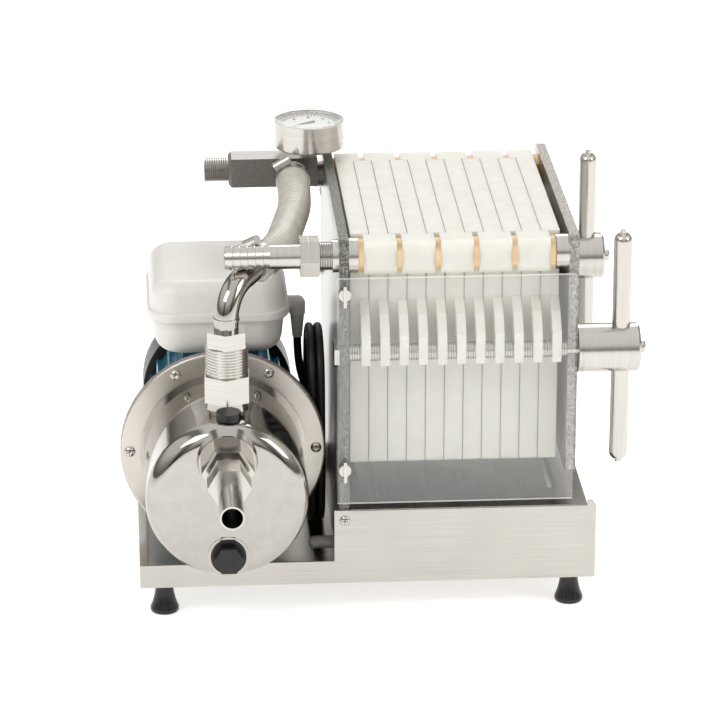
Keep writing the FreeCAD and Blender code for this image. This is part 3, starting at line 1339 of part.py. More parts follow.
def make_control_box():
    """Moulded box over the motor: a bowl-shaped lower part with a gland, and a rounded lid."""
    lower = body("box_bowl", "box_x", "box_y", "box_low")
    inset = "box_inset"
    deep, wide = "box_deep", "box_wide"
    height = "(box_seam - box_low)"
    top = sketch(lower, "XY_Plane", "box_outline",
                 [rectangle(inset, inset, f"{wide} - {inset}", f"{deep} - {inset}")],
                 offset=height)
    draft = pad(lower, "box_shell", top, height, reverse=True)
    tie(draft, TaperAngle="-box_taper")

    def upright(edge):
        return edge.BoundBox.ZLength > number(height) - 1

    round_edges(lower, "box_edges", upright, "box_round")

    def underside(edge):
        return edge.BoundBox.ZMax < 1e-6

    round_edges(lower, "box_underside", underside, "bowl_round")
    wall = f"(box_x + {wide} - {inset} - gland_in)"
    arm = cylinder("gland_arm", "+x", wall, HANK_RUN_Y, "gland_z", f"gland_x - {wall}", "gland_d")
    knuckle = ball("gland_knuckle", "gland_x", HANK_RUN_Y, "gland_z", "gland_d")
    drop = cylinder("gland_drop", "-z", "gland_x", HANK_RUN_Y, "gland_z", "gland_arm", "gland_d")
    relief = cone("gland_relief", "-z", "gland_x", HANK_RUN_Y, "gland_z - gland_arm",
                  "relief_len", "relief_big_d", "relief_small_d")
    bowl = fuse("control_box", [lower, arm, knuckle, drop, relief])
    rim = body("lid_rim_body", "box_x", "box_y", "box_seam")
    rim_outline = sketch(rim, "XY_Plane", "lid_rim_outline", [rectangle("0", "0", wide, deep)])
    pad(rim, "lid_rim_slab", rim_outline, "lid_rim")

    def rim_upright(edge):
        return along(edge, 2)

    round_edges(rim, "lid_rim_corners", rim_upright, "box_round")

    def rim_edges(edge):
        return edge.BoundBox.ZLength < 1e-3

    round_edges(rim, "lid_rim_softened", rim_edges, "rim_round")
    crown = body("lid_crown", "box_x", "box_y", "box_seam")
    step = "lid_inset"
    tall = "(box_top - box_seam)"
    crown_outline = sketch(crown, "XY_Plane", "lid_crown_outline",
                           [rectangle(step, step, f"{wide} - {step}", f"{deep} - {step}")])
    walls = pad(crown, "lid_walls", crown_outline, tall)
    tie(walls, TaperAngle="-lid_taper")

    def crown_upright(edge):
        return edge.BoundBox.ZLength > number(tall) - 1

    round_edges(crown, "lid_corners", crown_upright, "box_round - lid_inset")

    def crown_top(edge):
        return edge.BoundBox.ZMin > number(tall) - 0.01

    round_edges(crown, "lid_shoulder", crown_top, "lid_round")
    lid = fuse("control_box_lid", [rim, crown])
    return bowl, lid


def make_drain_stub():
    """Capped stub on the fixed end plate's outer face."""
    length = "stub_len - stub_d / 2"
    stem = cylinder("stub_stem", "-x", "fixed_x", "stub_y", "stub_z", length, "stub_d")
    dome = ball("stub_dome", f"fixed_x - ({length})", "stub_y", "stub_z", "stub_d")
    return fuse("capped_drain_stub", [stem, dome])


# ---------------------------------------------------------------------------------------------
# Mains cord
# ---------------------------------------------------------------------------------------------

def stadium(low_u, low_v, high_u, high_v):
    """Upright slot outline with half-round ends."""
    radius = f"(({high_u}) - ({low_u})) / 2"
    middle = f"(({high_u}) + ({low_u})) / 2"
    top, bottom = f"({high_v}) - {radius}", f"({low_v}) + {radius}"
    return [
        (low_u, top),
        (low_u, bottom, radius, (middle, bottom)),
        (middle, low_v, radius, (middle, bottom)),
        (high_u, bottom),
        (high_u, top, radius, (middle, top)),
        (middle, high_v, radius, (middle, top)),
    ]


def make_cord_hank():
    """The wound part of the cord as one bundle, standing between motor and end plate."""
    hank = body("cord_hank", "hank_x", "hank_y", SHEET_TOP)
    inside = "hank_band"
    section = sketch(hank, "YZ_Plane", "hank_outline", [
        stadium("0", "0", "hank_deep", "hank_tall"),
        stadium(inside, inside, f"hank_deep - {inside}", f"hank_tall - {inside}")])
    pad(hank, "hank_bundle", section, "hank_band")

    def rim(edge):
        return edge.BoundBox.XLength < 1e-6

    round_edges(hank, "hank_softened", rim, "hank_soft")
    return hank


def cord_routes():
    """Corner points of the two loose stretches: gland to hank, and hank to plug."""
    near = "(hank_x + hank_band / 4)"
    far = "(hank_x + 3 * hank_band / 4)"
    start = "(gland_z - gland_arm - relief_len)"
    first = [
        point("gland_x", HANK_RUN_Y, start),
        point("gland_x", HANK_RUN_Y, f"{start} - 24"),
        point(near, HANK_RUN_Y, f"{start} - 52"),
        point(near, HANK_RUN_Y, f"{start} - 74"),
    ]
    floor_z = f"{SHEET_TOP} + plug_tall / 2"
    second = [
        point(far, HANK_RUN_Y, f"{SHEET_TOP} + 72"),
        point(far, f"{HANK_RUN_Y} + 5", f"{SHEET_TOP} + 45"),
        point(f"{far} - 5", f"{HANK_RUN_Y} + 15", f"{SHEET_TOP} + 22"),
        point(f"{far} - 23", f"{HANK_RUN_Y} + 27", floor_z),
        point(f"{far} - 47", f"{HANK_RUN_Y} + 32", floor_z),
    ]
    return first, second


def make_power_cord():
    routes = cord_routes()
    runs = [bar_along(f"cord stretch {index}", route, number("cord_d"))
            for index, route in enumerate(routes, start=1)]
    return at_origin("power_cord", Part.makeCompound(runs))


def make_power_plug():
    """Two-pin plug with a tapered strain relief, lying on the pan behind the motor."""
    route = cord_routes()[1]
    heading = route[-1] - route[-2]
    turn = FreeCAD.Rotation(Vector(1, 0, 0), Vector(heading.x, heading.y, 0))
    end = route[-1]

    def lay(thing, forward, aside):
        """Place a piece at a distance along the plug and to its side."""
        place = end + turn.multVec(Vector(number(forward), number(aside), 0))
        thing.Placement = FreeCAD.Placement(place, turn * thing.Placement.Rotation)
        return thing

    plug = body("plug_body")
    for axis in "xyz":
        plug.setExpression(f".Placement.Base.{axis}", None)
    section = sketch(plug, "YZ_Plane", "plug_section", [
        rectangle("-plug_wide / 2", "-plug_tall / 2", "plug_wide / 2", "plug_tall / 2")])
    pad(plug, "plug_block", section, "plug_body_len")

    def lengthwise(edge):
        return along(edge, 0)

    round_edges(plug, "plug_softened", lengthwise, "plug_soft")
    lay(plug, "relief_len", "0")
    pieces = [plug]
    relief = doc.addObject("Part::Cone", "plug_relief")
    tie(relief, Height="relief_len + 1", Radius1="relief_small_d / 2", Radius2="relief_big_d / 2")
    relief.Placement = FreeCAD.Placement(Vector(0, 0, 0), TURNS["+x"])
    pieces.append(lay(relief, "0", "0"))
    for index in range(PINS):
        pin = doc.addObject("Part::Cylinder", f"plug_pin_{index + 1}")
        tie(pin, Height="pin_len + 1", Radius="pin_d / 2")
        pin.Placement = FreeCAD.Placement(Vector(0, 0, 0), TURNS["+x"])
        aside = f"pin_pitch * ({index} - 0.5)"
        pieces.append(lay(pin, "relief_len + plug_body_len - 1", aside))
    return fuse("power_plug", pieces)


# ---------------------------------------------------------------------------------------------
# Build, check and write
# ---------------------------------------------------------------------------------------------

nodes = [
    make_base_pan(),
    make_panel("front_panel", "base_front", True),
    make_panel("back_panel", BASE_BACK, False),
    make_feet(),
    make_end_plate("fixed_end_plate", "fixed_x", SHEET_TOP, "0", "rod_d + 2 * fit_gap",
                   "port_d + 4 + 2 * fit_gap"),
    make_end_plate("press_end_plate", PRESS_IN, "press_low", "press_trim",
                   "rod_d + 2 * seat_gap", None),
    make_tie_rods(),
]
nodes += [make_filter_plate(index) for index in range(1, PLATES + 1)]
nodes.append(make_gaskets())
nodes += make_bushes()
for side, y in (("front", FRONT_ROD_Y), ("back", BACK_ROD_Y)):
    nodes.append(make_clamp_nut(side, y))
    nodes.append(make_handle_bar(side, y))
nodes += [
    make_drip_tray(),
    make_guard("front_guard", "end_front - guard_air", "front_guard_top", False),
    make_guard("rear_guard", f"{END_BACK} + guard_air + guard_thick", "rear_guard_top", True),
    make_wing_screws(),
    make_outlet_tail(),
    make_manifold(),
]
nodes += make_gauge()
nodes += [make_pump_flange(), make_pump_casing()]
nodes += make_inlet()
nodes += [
    make_outlet(),
    make_elbow(),
    make_feed_hose(),
    make_hose_clamps(),
    make_plugs(),
    make_motor(),
    make_fan_cowl(),
]
nodes += make_control_box()
nodes += [make_drain_stub(), make_cord_hank(), make_power_cord(), make_power_plug()]

doc.recompute()
failed = [item.Name for item in doc.Objects if {"Invalid", "Error"} & set(item.State)]
if failed:
    raise RuntimeError(f"failed objects: {failed}")
for node in nodes:
    if node.Shape.isNull() or not node.Shape.isValid():
        raise RuntimeError(f"bad shape: {node.Label}")
whole = FreeCAD.BoundBox()
for node in nodes:
    node.Shape.exportStep(f"parts/{node.Label}.step")
    whole.add(node.Shape.BoundBox)
print(len(nodes), "nodes; box", [round(value, 2) for value in (
    whole.XMin, whole.XMax, whole.YMin, whole.YMax, whole.ZMin, whole.ZMax)])
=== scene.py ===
# %% [markdown]
# # Bench-top plate filter press
# A small food-processing machine: eleven grooved plates clamped between two steel end plates,
# fed by a self-priming pump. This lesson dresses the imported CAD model: it keeps every CAD shape
# where it is, gives each one a finish, and adds the small pieces that carry the eye.

# %% Load the frame
import json
import math
import bmesh
import bpy
from mathutils import Matrix, Vector


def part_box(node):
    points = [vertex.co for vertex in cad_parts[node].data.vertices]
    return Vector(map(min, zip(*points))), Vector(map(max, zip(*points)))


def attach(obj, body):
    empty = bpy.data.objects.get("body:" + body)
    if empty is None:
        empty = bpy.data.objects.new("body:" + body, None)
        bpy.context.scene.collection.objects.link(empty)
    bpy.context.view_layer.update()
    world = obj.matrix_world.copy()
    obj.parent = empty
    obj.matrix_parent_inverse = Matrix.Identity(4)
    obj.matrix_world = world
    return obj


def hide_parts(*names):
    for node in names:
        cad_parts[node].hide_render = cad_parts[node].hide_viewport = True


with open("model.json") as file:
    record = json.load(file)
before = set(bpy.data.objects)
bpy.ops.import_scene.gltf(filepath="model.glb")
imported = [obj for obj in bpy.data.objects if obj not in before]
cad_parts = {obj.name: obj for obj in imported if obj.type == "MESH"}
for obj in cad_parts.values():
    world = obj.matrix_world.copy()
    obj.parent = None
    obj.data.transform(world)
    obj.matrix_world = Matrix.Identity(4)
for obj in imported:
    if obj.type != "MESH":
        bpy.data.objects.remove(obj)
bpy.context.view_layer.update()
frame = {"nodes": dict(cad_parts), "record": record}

nodes = frame["nodes"]

# %% [markdown]
# ## Where things are
# The machine's own corner (the left front end of the base) is the datum that the makers used.
# One small function turns millimetres from that corner into the row frame's metres.

# %% Datum and units
MM = 0.001
FEET_DROP = 2.5 * MM
panel_low, panel_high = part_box("front_panel")
DATUM = Vector((panel_low.x, panel_low.y + 30 * MM, FEET_DROP))


def at(x, y, z):
    """A place in millimetres from the base's left end, the plates' front edge and the bench."""
    return DATUM + Vector((x, y, z)) * MM


print("datum:", [round(v, 4) for v in DATUM])

# %% [markdown]
# ## Camera
# A long lens looks down at the machine by about twenty degrees from a little to the left.

# %% Camera
camera_data = bpy.data.cameras.new("camera")
camera = bpy.data.objects.new("camera", camera_data)
bpy.context.scene.collection.objects.link(camera)
camera_data.sensor_width = 36.0
camera_data.lens = 36.0 * 3804.72 / 720.0
camera.location = at(-8.17, -2925.04, 1286.46)
camera.rotation_euler = (math.radians(90 - 20.18), 0.0, math.radians(-3.76))
camera_data.clip_end = 50.0
bpy.context.scene.camera = camera
print("lens:", round(camera_data.lens, 1), "mm")

# %% [markdown]
# ## Helpers
# Colours are written as sRGB hex values and turned to linear light by one function, because
# that is how paint and plastic charts give them. Another adds a node with its settings and
# links, so that a finish reads as a short list.

# %% Colour and node helpers
def colour(text, alpha=1.0):
    """An sRGB hex colour as linear RGBA."""
    raw = [int(text[i:i + 2], 16) / 255 for i in (1, 3, 5)]
    linear = [c / 12.92 if c <= 0.04045 else ((c + 0.055) / 1.055) ** 2.4 for c in raw]
    return (*linear, alpha)


def node(tree, kind, settings=None, **links):
    """Add a node; settings are its own properties, links are values or sockets for its inputs."""
    made = tree.nodes.new(kind)
    for name, value in (settings or {}).items():
        setattr(made, name, value)
    for name, value in links.items():
        key = int(name[1:]) if name[0] == "i" and name[1:].isdigit() else name.replace("_", " ")
        socket = made.inputs[key]
        if isinstance(value, bpy.types.NodeSocket):
            tree.links.new(value, socket)
        else:
            socket.default_value = value
    return made


# %% [markdown]
# ## Studio
# Steel shows only what it reflects, so the surround matters more than the lamps. The world is a
# big white tent that darkens towards the horizon, with two dark upright strips that draw the
# dark lines in the polished tubes. Cards and lamps alone would do it too, but they would have
# to be placed again for every view. The floor is white paper with a little light of its own.

# %% Floor, surround and lamps
SIDE = 30.0
floor_mesh = bpy.data.meshes.new("studio_floor")
floor_mesh.from_pydata([(-SIDE, -SIDE, 0), (SIDE, -SIDE, 0), (SIDE, SIDE, 0), (-SIDE, SIDE, 0)],
                       [], [(0, 1, 2, 3)])
floor = bpy.data.objects.new("studio_floor", floor_mesh)
bpy.context.scene.collection.objects.link(floor)
paper = bpy.data.materials.new("white_paper_sweep")
paper.use_nodes = True
paper_shader = paper.node_tree.nodes["Principled BSDF"]
paper_shader.inputs["Base Color"].default_value = colour("#F4F4F4")
paper_shader.inputs["Roughness"].default_value = 0.95
paper_shader.inputs["Specular IOR Level"].default_value = 0.1
paper_shader.inputs["Emission Color"].default_value = colour("#FFFFFF")
paper_shader.inputs["Emission Strength"].default_value = 0.5
floor_mesh.materials.append(paper)

world = bpy.data.worlds.new("studio")
bpy.context.scene.world = world
world.use_nodes = True
sky = world.node_tree
direction = node(sky, "ShaderNodeTexCoord").outputs["Generated"]
parts = node(sky, "ShaderNodeSeparateXYZ", Vector=direction)
height = node(sky, "ShaderNodeMapRange", Value=parts.outputs["Z"], From_Min=-1.0, From_Max=1.0)
tent = node(sky, "ShaderNodeValToRGB", Fac=height.outputs["Result"])
TENT = [(0.0, "#FFFFFF"), (0.49, "#E4E2DE"), (0.52, "#6E6B66"), (0.60, "#A7A49E"),
        (0.72, "#F2F1EE"), (1.0, "#FFFFFF")]
for place, shade in TENT[1:-1]:
    tent.color_ramp.elements.new(place)
for element, (place, shade) in zip(tent.color_ramp.elements, TENT):
    element.position = place
    element.color = colour(shade)
strips = node(sky, "ShaderNodeValToRGB", Fac=node(
    sky, "ShaderNodeMapRange", Value=parts.outputs["X"], From_Min=-1.0,
    From_Max=1.0).outputs["Result"])
STRIPS = [(0.0, "#FFFFFF"), (0.18, "#FFFFFF"), (0.22, "#4A4845"), (0.28, "#4A4845"),
          (0.33, "#FFFFFF"), (0.70, "#FFFFFF"), (0.75, "#55524E"), (0.80, "#55524E"),
          (0.86, "#FFFFFF")]
for place, shade in STRIPS[1:-1]:
    strips.color_ramp.elements.new(place)
for element, (place, shade) in zip(strips.color_ramp.elements, STRIPS):
    element.position = place
    element.color = colour(shade)
surround = node(sky, "ShaderNodeMix", {"data_type": "RGBA", "blend_type": "MULTIPLY"},
                i0=0.75, i6=tent.outputs["Color"], i7=strips.outputs["Color"])
sky.links.new(surround.outputs[2], sky.nodes["Background"].inputs["Color"])
sky.nodes["Background"].inputs["Strength"].default_value = 1.0
bpy.context.scene.view_settings.view_transform = "Standard"


def soft_light(name, place, target, size, watts):
    """A rectangular soft box that faces a target."""
    data = bpy.data.lights.new(name, "AREA")
    data.shape = "RECTANGLE"
    data.size, data.size_y = size
    data.energy = watts
    light = bpy.data.objects.new(name, data)
    bpy.context.scene.collection.objects.link(light)
    light.location = place
    light.rotation_euler = (Vector(target) - Vector(place)).to_track_quat("-Z", "Y").to_euler()
    return light


soft_light("key_light", (-1.3, -1.3, 1.9), (0, 0, 0.15), (1.0, 1.0), 16)
soft_light("fill_light", (1.6, -0.9, 1.3), (0, 0, 0.15), (0.8, 1.2), 7)
soft_light("back_light", (0.4, 1.8, 1.6), (0, 0, 0.15), (1.4, 0.8), 10)
print("studio: tent, floor and three soft boxes")

# %% [markdown]
# ## Patterns for the finishes
# Brushing, lathe marks, moulded grain and rubber bloom are all noise at the right size. One
# function gives noise whose grains measure so many millimetres along each axis, in Object
# coordinates. Image textures would need unwrapping and would repeat.

# %% Grain and a blank finish
def grain(tree, size, detail=3.0):
    """Noise whose grains are size = (x, y, z) millimetres long, as a 0 to 1 socket."""
    place = node(tree, "ShaderNodeTexCoord").outputs["Object"]
    scaled = node(tree, "ShaderNodeMapping", Vector=place, Scale=[1.0 / (s * MM) for s in size])
    noise = node(tree, "ShaderNodeTexNoise", Vector=scaled.outputs["Vector"], Scale=1.0,
                 Detail=detail)
    return noise.outputs["Fac"]


def between(tree, factor, low, high, narrow=(0.3, 0.7)):
    """A colour that runs from low to high as the factor runs over the narrow span."""
    ramp = node(tree, "ShaderNodeValToRGB", Fac=factor)
    for element, place, shade in zip(ramp.color_ramp.elements, narrow, (low, high)):
        element.position = place
        element.color = colour(shade)
    return ramp.outputs["Color"]


def span(tree, factor, low, high):
    """The factor's usual 0.3 to 0.7 stretched to low and high."""
    return node(tree, "ShaderNodeMapRange", Value=factor, From_Min=0.3, From_Max=0.7,
                To_Min=low, To_Max=high).outputs["Result"]


def relief(tree, factor, depth):
    """A bump normal whose full height is depth millimetres."""
    return node(tree, "ShaderNodeBump", Strength=1.0, Distance=depth * MM,
                Height=factor).outputs["Normal"]


def blank(name, **fixed):
    """A new material; fixed values go straight on the shader's own sockets."""
    material = bpy.data.materials.new(name)
    material.use_nodes = True
    shader = material.node_tree.nodes["Principled BSDF"]
    for key, value in fixed.items():
        shader.inputs[key.replace("_", " ")].default_value = value
    return material, material.node_tree, shader


def wire(tree, shader, **sockets):
    """Link sockets to the shader's inputs."""
    for key, socket in sockets.items():
        tree.links.new(socket, shader.inputs[key.replace("_", " ")])


# %% [markdown]
# ## Steel finishes
# The base is sheet steel with a long-grain brushed finish: soft streaks along the sheet give a
# broad, silky glow. The end plates are thicker, rolled, with cut edges that come out darker and
# speckled. Turned pieces carry fine rings round their axis, and the pump's casing is polished.

# %% Steel
AXES = {"x": (0.35, 60.0, 60.0), "y": (60.0, 0.35, 60.0), "z": (60.0, 60.0, 0.35)}


def brushed_sheet(name, long_grain=(90.0, 0.8, 0.8), light="#C9C5BE", dark="#BCB8B1"):
    """Brushed stainless sheet: streaks along the rolling direction, silky and warm."""
    material, tree, shader = blank(name, Metallic=1.0)
    streak = grain(tree, long_grain)
    cloud = grain(tree, (45.0, 45.0, 45.0), 1.0)
    wire(tree, shader, Base_Color=between(tree, streak, dark, light),
         Roughness=span(tree, cloud, 0.27, 0.38), Normal=relief(tree, streak, 0.01))
    return material


def rolled_plate(name, edge_dark, edge_light, facing="X", light="#C9C7C3", dark="#B2AFAA"):
    """Thick rolled plate: smooth bright faces, and speckled cut edges that scatter the light."""
    material, tree, shader = blank(name, Metallic=1.0)
    normal = node(tree, "ShaderNodeNewGeometry").outputs["Normal"]
    across = node(tree, "ShaderNodeSeparateXYZ", Vector=normal).outputs[facing]
    flat = node(tree, "ShaderNodeMath", {"operation": "ABSOLUTE"}, i0=across).outputs[0]
    is_face = node(tree, "ShaderNodeMapRange", Value=flat, From_Min=0.6,
                   From_Max=0.9).outputs["Result"]
    face_tone = between(tree, grain(tree, (60.0, 1.2, 60.0)), dark, light)
    speckle = grain(tree, (1.6, 1.6, 1.6), 5.0)
    edge_tone = between(tree, speckle, edge_dark, edge_light, (0.42, 0.66))
    tone = node(tree, "ShaderNodeMix", {"data_type": "RGBA"}, i0=is_face, i6=edge_tone,
                i7=face_tone)
    gloss = node(tree, "ShaderNodeMapRange", Value=is_face, To_Min=0.52, To_Max=0.30)
    wire(tree, shader, Base_Color=tone.outputs[2], Roughness=gloss.outputs["Result"],
         Normal=relief(tree, speckle, 0.04))
    return material


def turned_steel(name, axis, light="#D3CFC9", dark="#BFBBB4", rough=(0.14, 0.26)):
    """Turned stainless: fine tool rings round the axis, brighter than the sheet."""
    material, tree, shader = blank(name, Metallic=1.0)
    rings = grain(tree, AXES[axis], 4.0)
    wire(tree, shader, Base_Color=between(tree, rings, dark, light),
         Roughness=span(tree, rings, *rough), Normal=relief(tree, rings, 0.02))
    return material


def polished_steel(name, light="#B9B5AF", dark="#B2AEA8"):
    """Mirror-polished stainless: almost no grain, only faint wiping marks; its tone is set darker
    than the other steels as painted reflection, for the dark reflections of a more domed casing
    face.
    """
    material, tree, shader = blank(name, Metallic=1.0)
    wipes = grain(tree, (9.0, 30.0, 9.0), 2.0)
    wire(tree, shader, Base_Color=between(tree, wipes, dark, light),
         Roughness=span(tree, wipes, 0.05, 0.10))
    return material


sheet = brushed_sheet("brushed_stainless_sheet")
# The drip tray's much darker steel tone is painted shade and painted reflection: the dark that
# the tray mirrors and catches under the plate pack.
tray_sheet = brushed_sheet("tray_steel_painted_dark", (4.0, 70.0, 4.0), "#8F8C88", "#7C7975")
clamp_band = brushed_sheet("stamped_clamp_band", (0.8, 0.8, 8.0), "#E2E0DC", "#BFBCB6")
fixed_plate = rolled_plate("rolled_plate_dark_edge", "#5E605A", "#9A9C93")
press_plate = rolled_plate("rolled_plate_grey_edge", "#8C8883", "#C2BEB9")
flange_plate = rolled_plate("faced_flange", "#A39E97", "#CFCAC3", "Y", "#D2CDC5", "#C2BDB4")
block_plate = rolled_plate("milled_block", "#7A7773", "#86837E", "Z", "#D6D4CF", "#BDBAB4")
turned = {axis: turned_steel("turned_stainless_" + axis, axis) for axis in AXES}
# The thread steel is set much darker than the turned steel, with stronger dark rings: painted
# shade, for the rods as they show dark in the shaded notches between the plates. The outlet and
# spigot threads share it.
thread_steel = turned_steel("thread_steel_painted_shade", "x", "#A9A59D", "#6F6B64", (0.25, 0.4))
# The polished steel's darker tone is painted reflection, standing in for the dark reflections of
# the real, more domed casing.
mirror = polished_steel("polished_stainless")
print("steel finishes:", 4 + 5 + len(turned))

# %% [markdown]
# ## Plastics, rubber and enamel
# The plates are natural polypropylene, cloudy and a little waxy: light sinks in, so a short
# subsurface radius is used. The guards are clear acrylic, whose cut edges gather light and read
# white; refraction through many sheets is slow, so the faces are simply thin to the eye.

# %% Plastics and rubber
def moulded(name, low, high, size, rough, depth, **fixed):
    """Moulded plastic or rubber: tone and gloss vary a little with the flow of the melt."""
    material, tree, shader = blank(name, **fixed)
    flow = grain(tree, (size * 12, size * 12, size * 12), 2.0)
    skin = grain(tree, (size, size, size), 3.0)
    wire(tree, shader, Base_Color=between(tree, flow, low, high),
         Roughness=span(tree, skin, *rough), Normal=relief(tree, skin, depth))
    return material


def clear_sheet(name, face_alpha, edge_alpha, facing, tint="#F6F8F7", edge="#FFFFFF"):
    """Clear acrylic: faces almost vanish, sawn edges and rims glow pale."""
    material, tree, shader = blank(name, IOR=1.49)
    normal = node(tree, "ShaderNodeNewGeometry").outputs["Normal"]
    across = node(tree, "ShaderNodeSeparateXYZ", Vector=normal).outputs[facing]
    flat = node(tree, "ShaderNodeMath", {"operation": "ABSOLUTE"}, i0=across).outputs[0]
    clear = node(tree, "ShaderNodeMapRange", Value=flat, From_Min=0.7, From_Max=0.95,
                 To_Min=edge_alpha, To_Max=face_alpha).outputs["Result"]
    smudge = grain(tree, (30.0, 30.0, 30.0), 2.0)
    wire(tree, shader, Alpha=clear, Base_Color=between(tree, flat, edge, tint, (0.7, 0.95)),
         Roughness=span(tree, smudge, 0.03, 0.07))
    return material


plate_plastic = moulded("natural_polypropylene", "#E2DFD4", "#E9E6DC", 1.2, (0.38, 0.5), 0.02,
                        Subsurface_Weight=0.5, Subsurface_Radius=(0.012, 0.011, 0.009),
                        Subsurface_Scale=1.0, IOR=1.49)
gasket = moulded("amber_silicone", "#D9B78A", "#EBCFA6", 0.9, (0.4, 0.55), 0.02,
                 Subsurface_Weight=0.2, Subsurface_Scale=0.002)
foot_rubber = moulded("glossy_black_rubber", "#101010", "#1D1D1C", 0.8, (0.22, 0.36), 0.02)
grey_rubber = moulded("grey_rubber", "#6B6663", "#878280", 0.8, (0.5, 0.65), 0.04)
abs_shell = moulded("white_abs", "#E2DFDA", "#E6E3DE", 0.7, (0.3, 0.4), 0.03)
black_moulding = moulded("black_nylon", "#0C0C0D", "#191919", 0.6, (0.3, 0.42), 0.03)
cord_jacket = moulded("black_pvc_jacket", "#0E0E0E", "#1B1B1B", 1.0, (0.4, 0.55), 0.03)
enamel = moulded("blue_stove_enamel", "#1C5C74", "#2A7690", 1.5, (0.2, 0.32), 0.05,
                 Coat_Weight=0.4, Coat_Roughness=0.12)
hose_wall = moulded("translucent_pvc_hose", "#CBC6BB", "#D8D4CA", 1.5, (0.18, 0.3), 0.02,
                    Subsurface_Weight=0.3, Subsurface_Scale=0.004)
hose_rib = moulded("hose_spiral", "#B0AA9E", "#C4BEB3", 1.0, (0.25, 0.35), 0.01)
guard_sheet = clear_sheet("clear_acrylic_sheet", 0.10, 0.72, "Y")
lens_sheet = clear_sheet("domed_acrylic_lens", 0.16, 0.55, "Z")
dial_white = moulded("printed_dial", "#F2F1EC", "#FAF9F6", 3.0, (0.45, 0.55), 0.005)
# The black ink serves the dial's print and also the clamp slots, where it is painted shade.
black_ink_and_slot_shade = moulded("black_ink_and_slot_shade", "#141414", "#222222", 1.0, (0.5, 0.6), 0.003)
label_film = moulded("bare_label_film", "#D5D6D6", "#E2E3E3", 2.0, (0.25, 0.35), 0.005)
print("plastic, rubber and enamel finishes: 15")

# %% [markdown]
# ## Dressing the CAD nodes
# Each CAD node keeps its shape and gets the finish of its real material. The record names a
# material slot for each one; the pieces that need another grain direction are listed by name.

# %% Finish of each node
SLOT_FINISH = {
    "sheet_steel": sheet, "plate_steel": fixed_plate, "turned_steel": turned["x"],
    "polished_steel": mirror, "white_polypropylene": plate_plastic, "amber_silicone": gasket,
    "black_rubber": foot_rubber, "grey_rubber": grey_rubber, "clear_acrylic": guard_sheet,
    "clear_hose": hose_wall, "white_plastic": abs_shell, "black_plastic": black_moulding,
    "blue_enamel": enamel,
}
NODE_FINISH = {
    "drip_tray": tray_sheet, "hose_clamps": clamp_band, "press_end_plate": press_plate,
    "pump_flange": flange_plate, "manifold_block": block_plate, "gauge_case": turned["z"],
    "gauge_lens": lens_sheet, "pump_outlet_union": turned["z"], "inlet_coupling": turned["y"],
    "suction_hose_tail": turned["y"], "power_cord": cord_jacket, "cord_hank": cord_jacket,
    "power_plug": cord_jacket,
}
for part in frame["record"]["subparts"]:
    mesh = nodes[part["node"]].data
    mesh.materials.clear()
    mesh.materials.append(NODE_FINISH.get(part["node"], SLOT_FINISH[part["material_slot"]]))

# %% [markdown]
# ## Growing repeated pieces
# Threads, hose ribs, screw heads and dial marks repeat by rule, so Geometry Nodes grow them.
# A tree is built once with named sizes; `grow` runs it on a seed mesh and keeps a plain mesh.

# %% Geometry Nodes helpers
def new_tree(name, sizes):
    """A geometry tree with named sizes; returns the tree, its input node and its output node."""
    tree = bpy.data.node_groups.new(name, "GeometryNodeTree")
    tree.interface.new_socket("Geometry", in_out="INPUT", socket_type="NodeSocketGeometry")
    for label, kind in sizes.items():
        tree.interface.new_socket(label, in_out="INPUT", socket_type="NodeSocket" + kind)
    tree.interface.new_socket("Geometry", in_out="OUTPUT", socket_type="NodeSocketGeometry")
    return tree, tree.nodes.new("NodeGroupInput"), tree.nodes.new("NodeGroupOutput")


def close_tree(tree, source, given, geometry):
    """End a tree: smooth shading, real meshes and the finish."""
    smooth = node(tree, "GeometryNodeSetShadeSmooth", Geometry=geometry)
    real = node(tree, "GeometryNodeRealizeInstances", Geometry=smooth.outputs["Geometry"])
    painted = node(tree, "GeometryNodeSetMaterial", Geometry=real.outputs["Geometry"],
                   Material=source.outputs["Finish"])
    tree.links.new(painted.outputs["Geometry"], given.inputs[0])


def settle(name, mesh, body, finish=None):
    """Put a finished mesh in the scene as a piece that rides on a body."""
    piece = bpy.data.objects.new(name, mesh)
    bpy.context.scene.collection.objects.link(piece)
    if finish is not None:
        mesh.materials.clear()
        mesh.materials.append(finish)
    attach(piece, body)
    return piece


def grow(name, tree, seed, sizes, body):
    """Run a tree on a seed mesh and settle the plain mesh that comes out."""
    carrier = bpy.data.objects.new(name + "_seed", seed)
    bpy.context.scene.collection.objects.link(carrier)
    modifier = carrier.modifiers.new("grow", "NODES")
    modifier.node_group = tree
    sockets = {item.name: item.identifier for item in tree.interface.items_tree
               if item.item_type == "SOCKET" and item.in_out == "INPUT"}
    for label, value in sizes.items():
        modifier[sockets[label]] = value
    graph = bpy.context.evaluated_depsgraph_get()
    mesh = bpy.data.meshes.new_from_object(carrier.evaluated_get(graph))
    bpy.data.objects.remove(carrier)
    mesh.name = name
    print(name, "faces:", len(mesh.polygons))
    return settle(name, mesh, body)


def seed_lines(name, lines, bends=None):
    """A mesh of open lines, each a list of places; bends gives each point's corner radius."""
    mesh = bpy.data.meshes.new(name)
    places, edges = [], []
    for line in lines:
        start = len(places)
        places += line
        edges += [(i, i + 1) for i in range(start, start + len(line) - 1)]
    mesh.from_pydata(places, edges, [])
    if bends:
        mesh.attributes.new("bend", "FLOAT", "POINT").data.foreach_set("value", bends)
    return mesh


def seed_points(name, places, facings):
    """A mesh of loose points, each with the direction that its piece faces."""
    mesh = bpy.data.meshes.new(name)
    mesh.from_pydata(places, [], [])
    flat = [value for facing in facings for value in facing]
    mesh.attributes.new("facing", "FLOAT_VECTOR", "POINT").data.foreach_set("vector", flat)
    return mesh


# %% [markdown]
# ## Threads and hose ribs
# A thread is a helix, but at this size a stack of rounded ridges reads the same and stays light.
# The same tree grows the hose's spiral: the line is given round corners first.

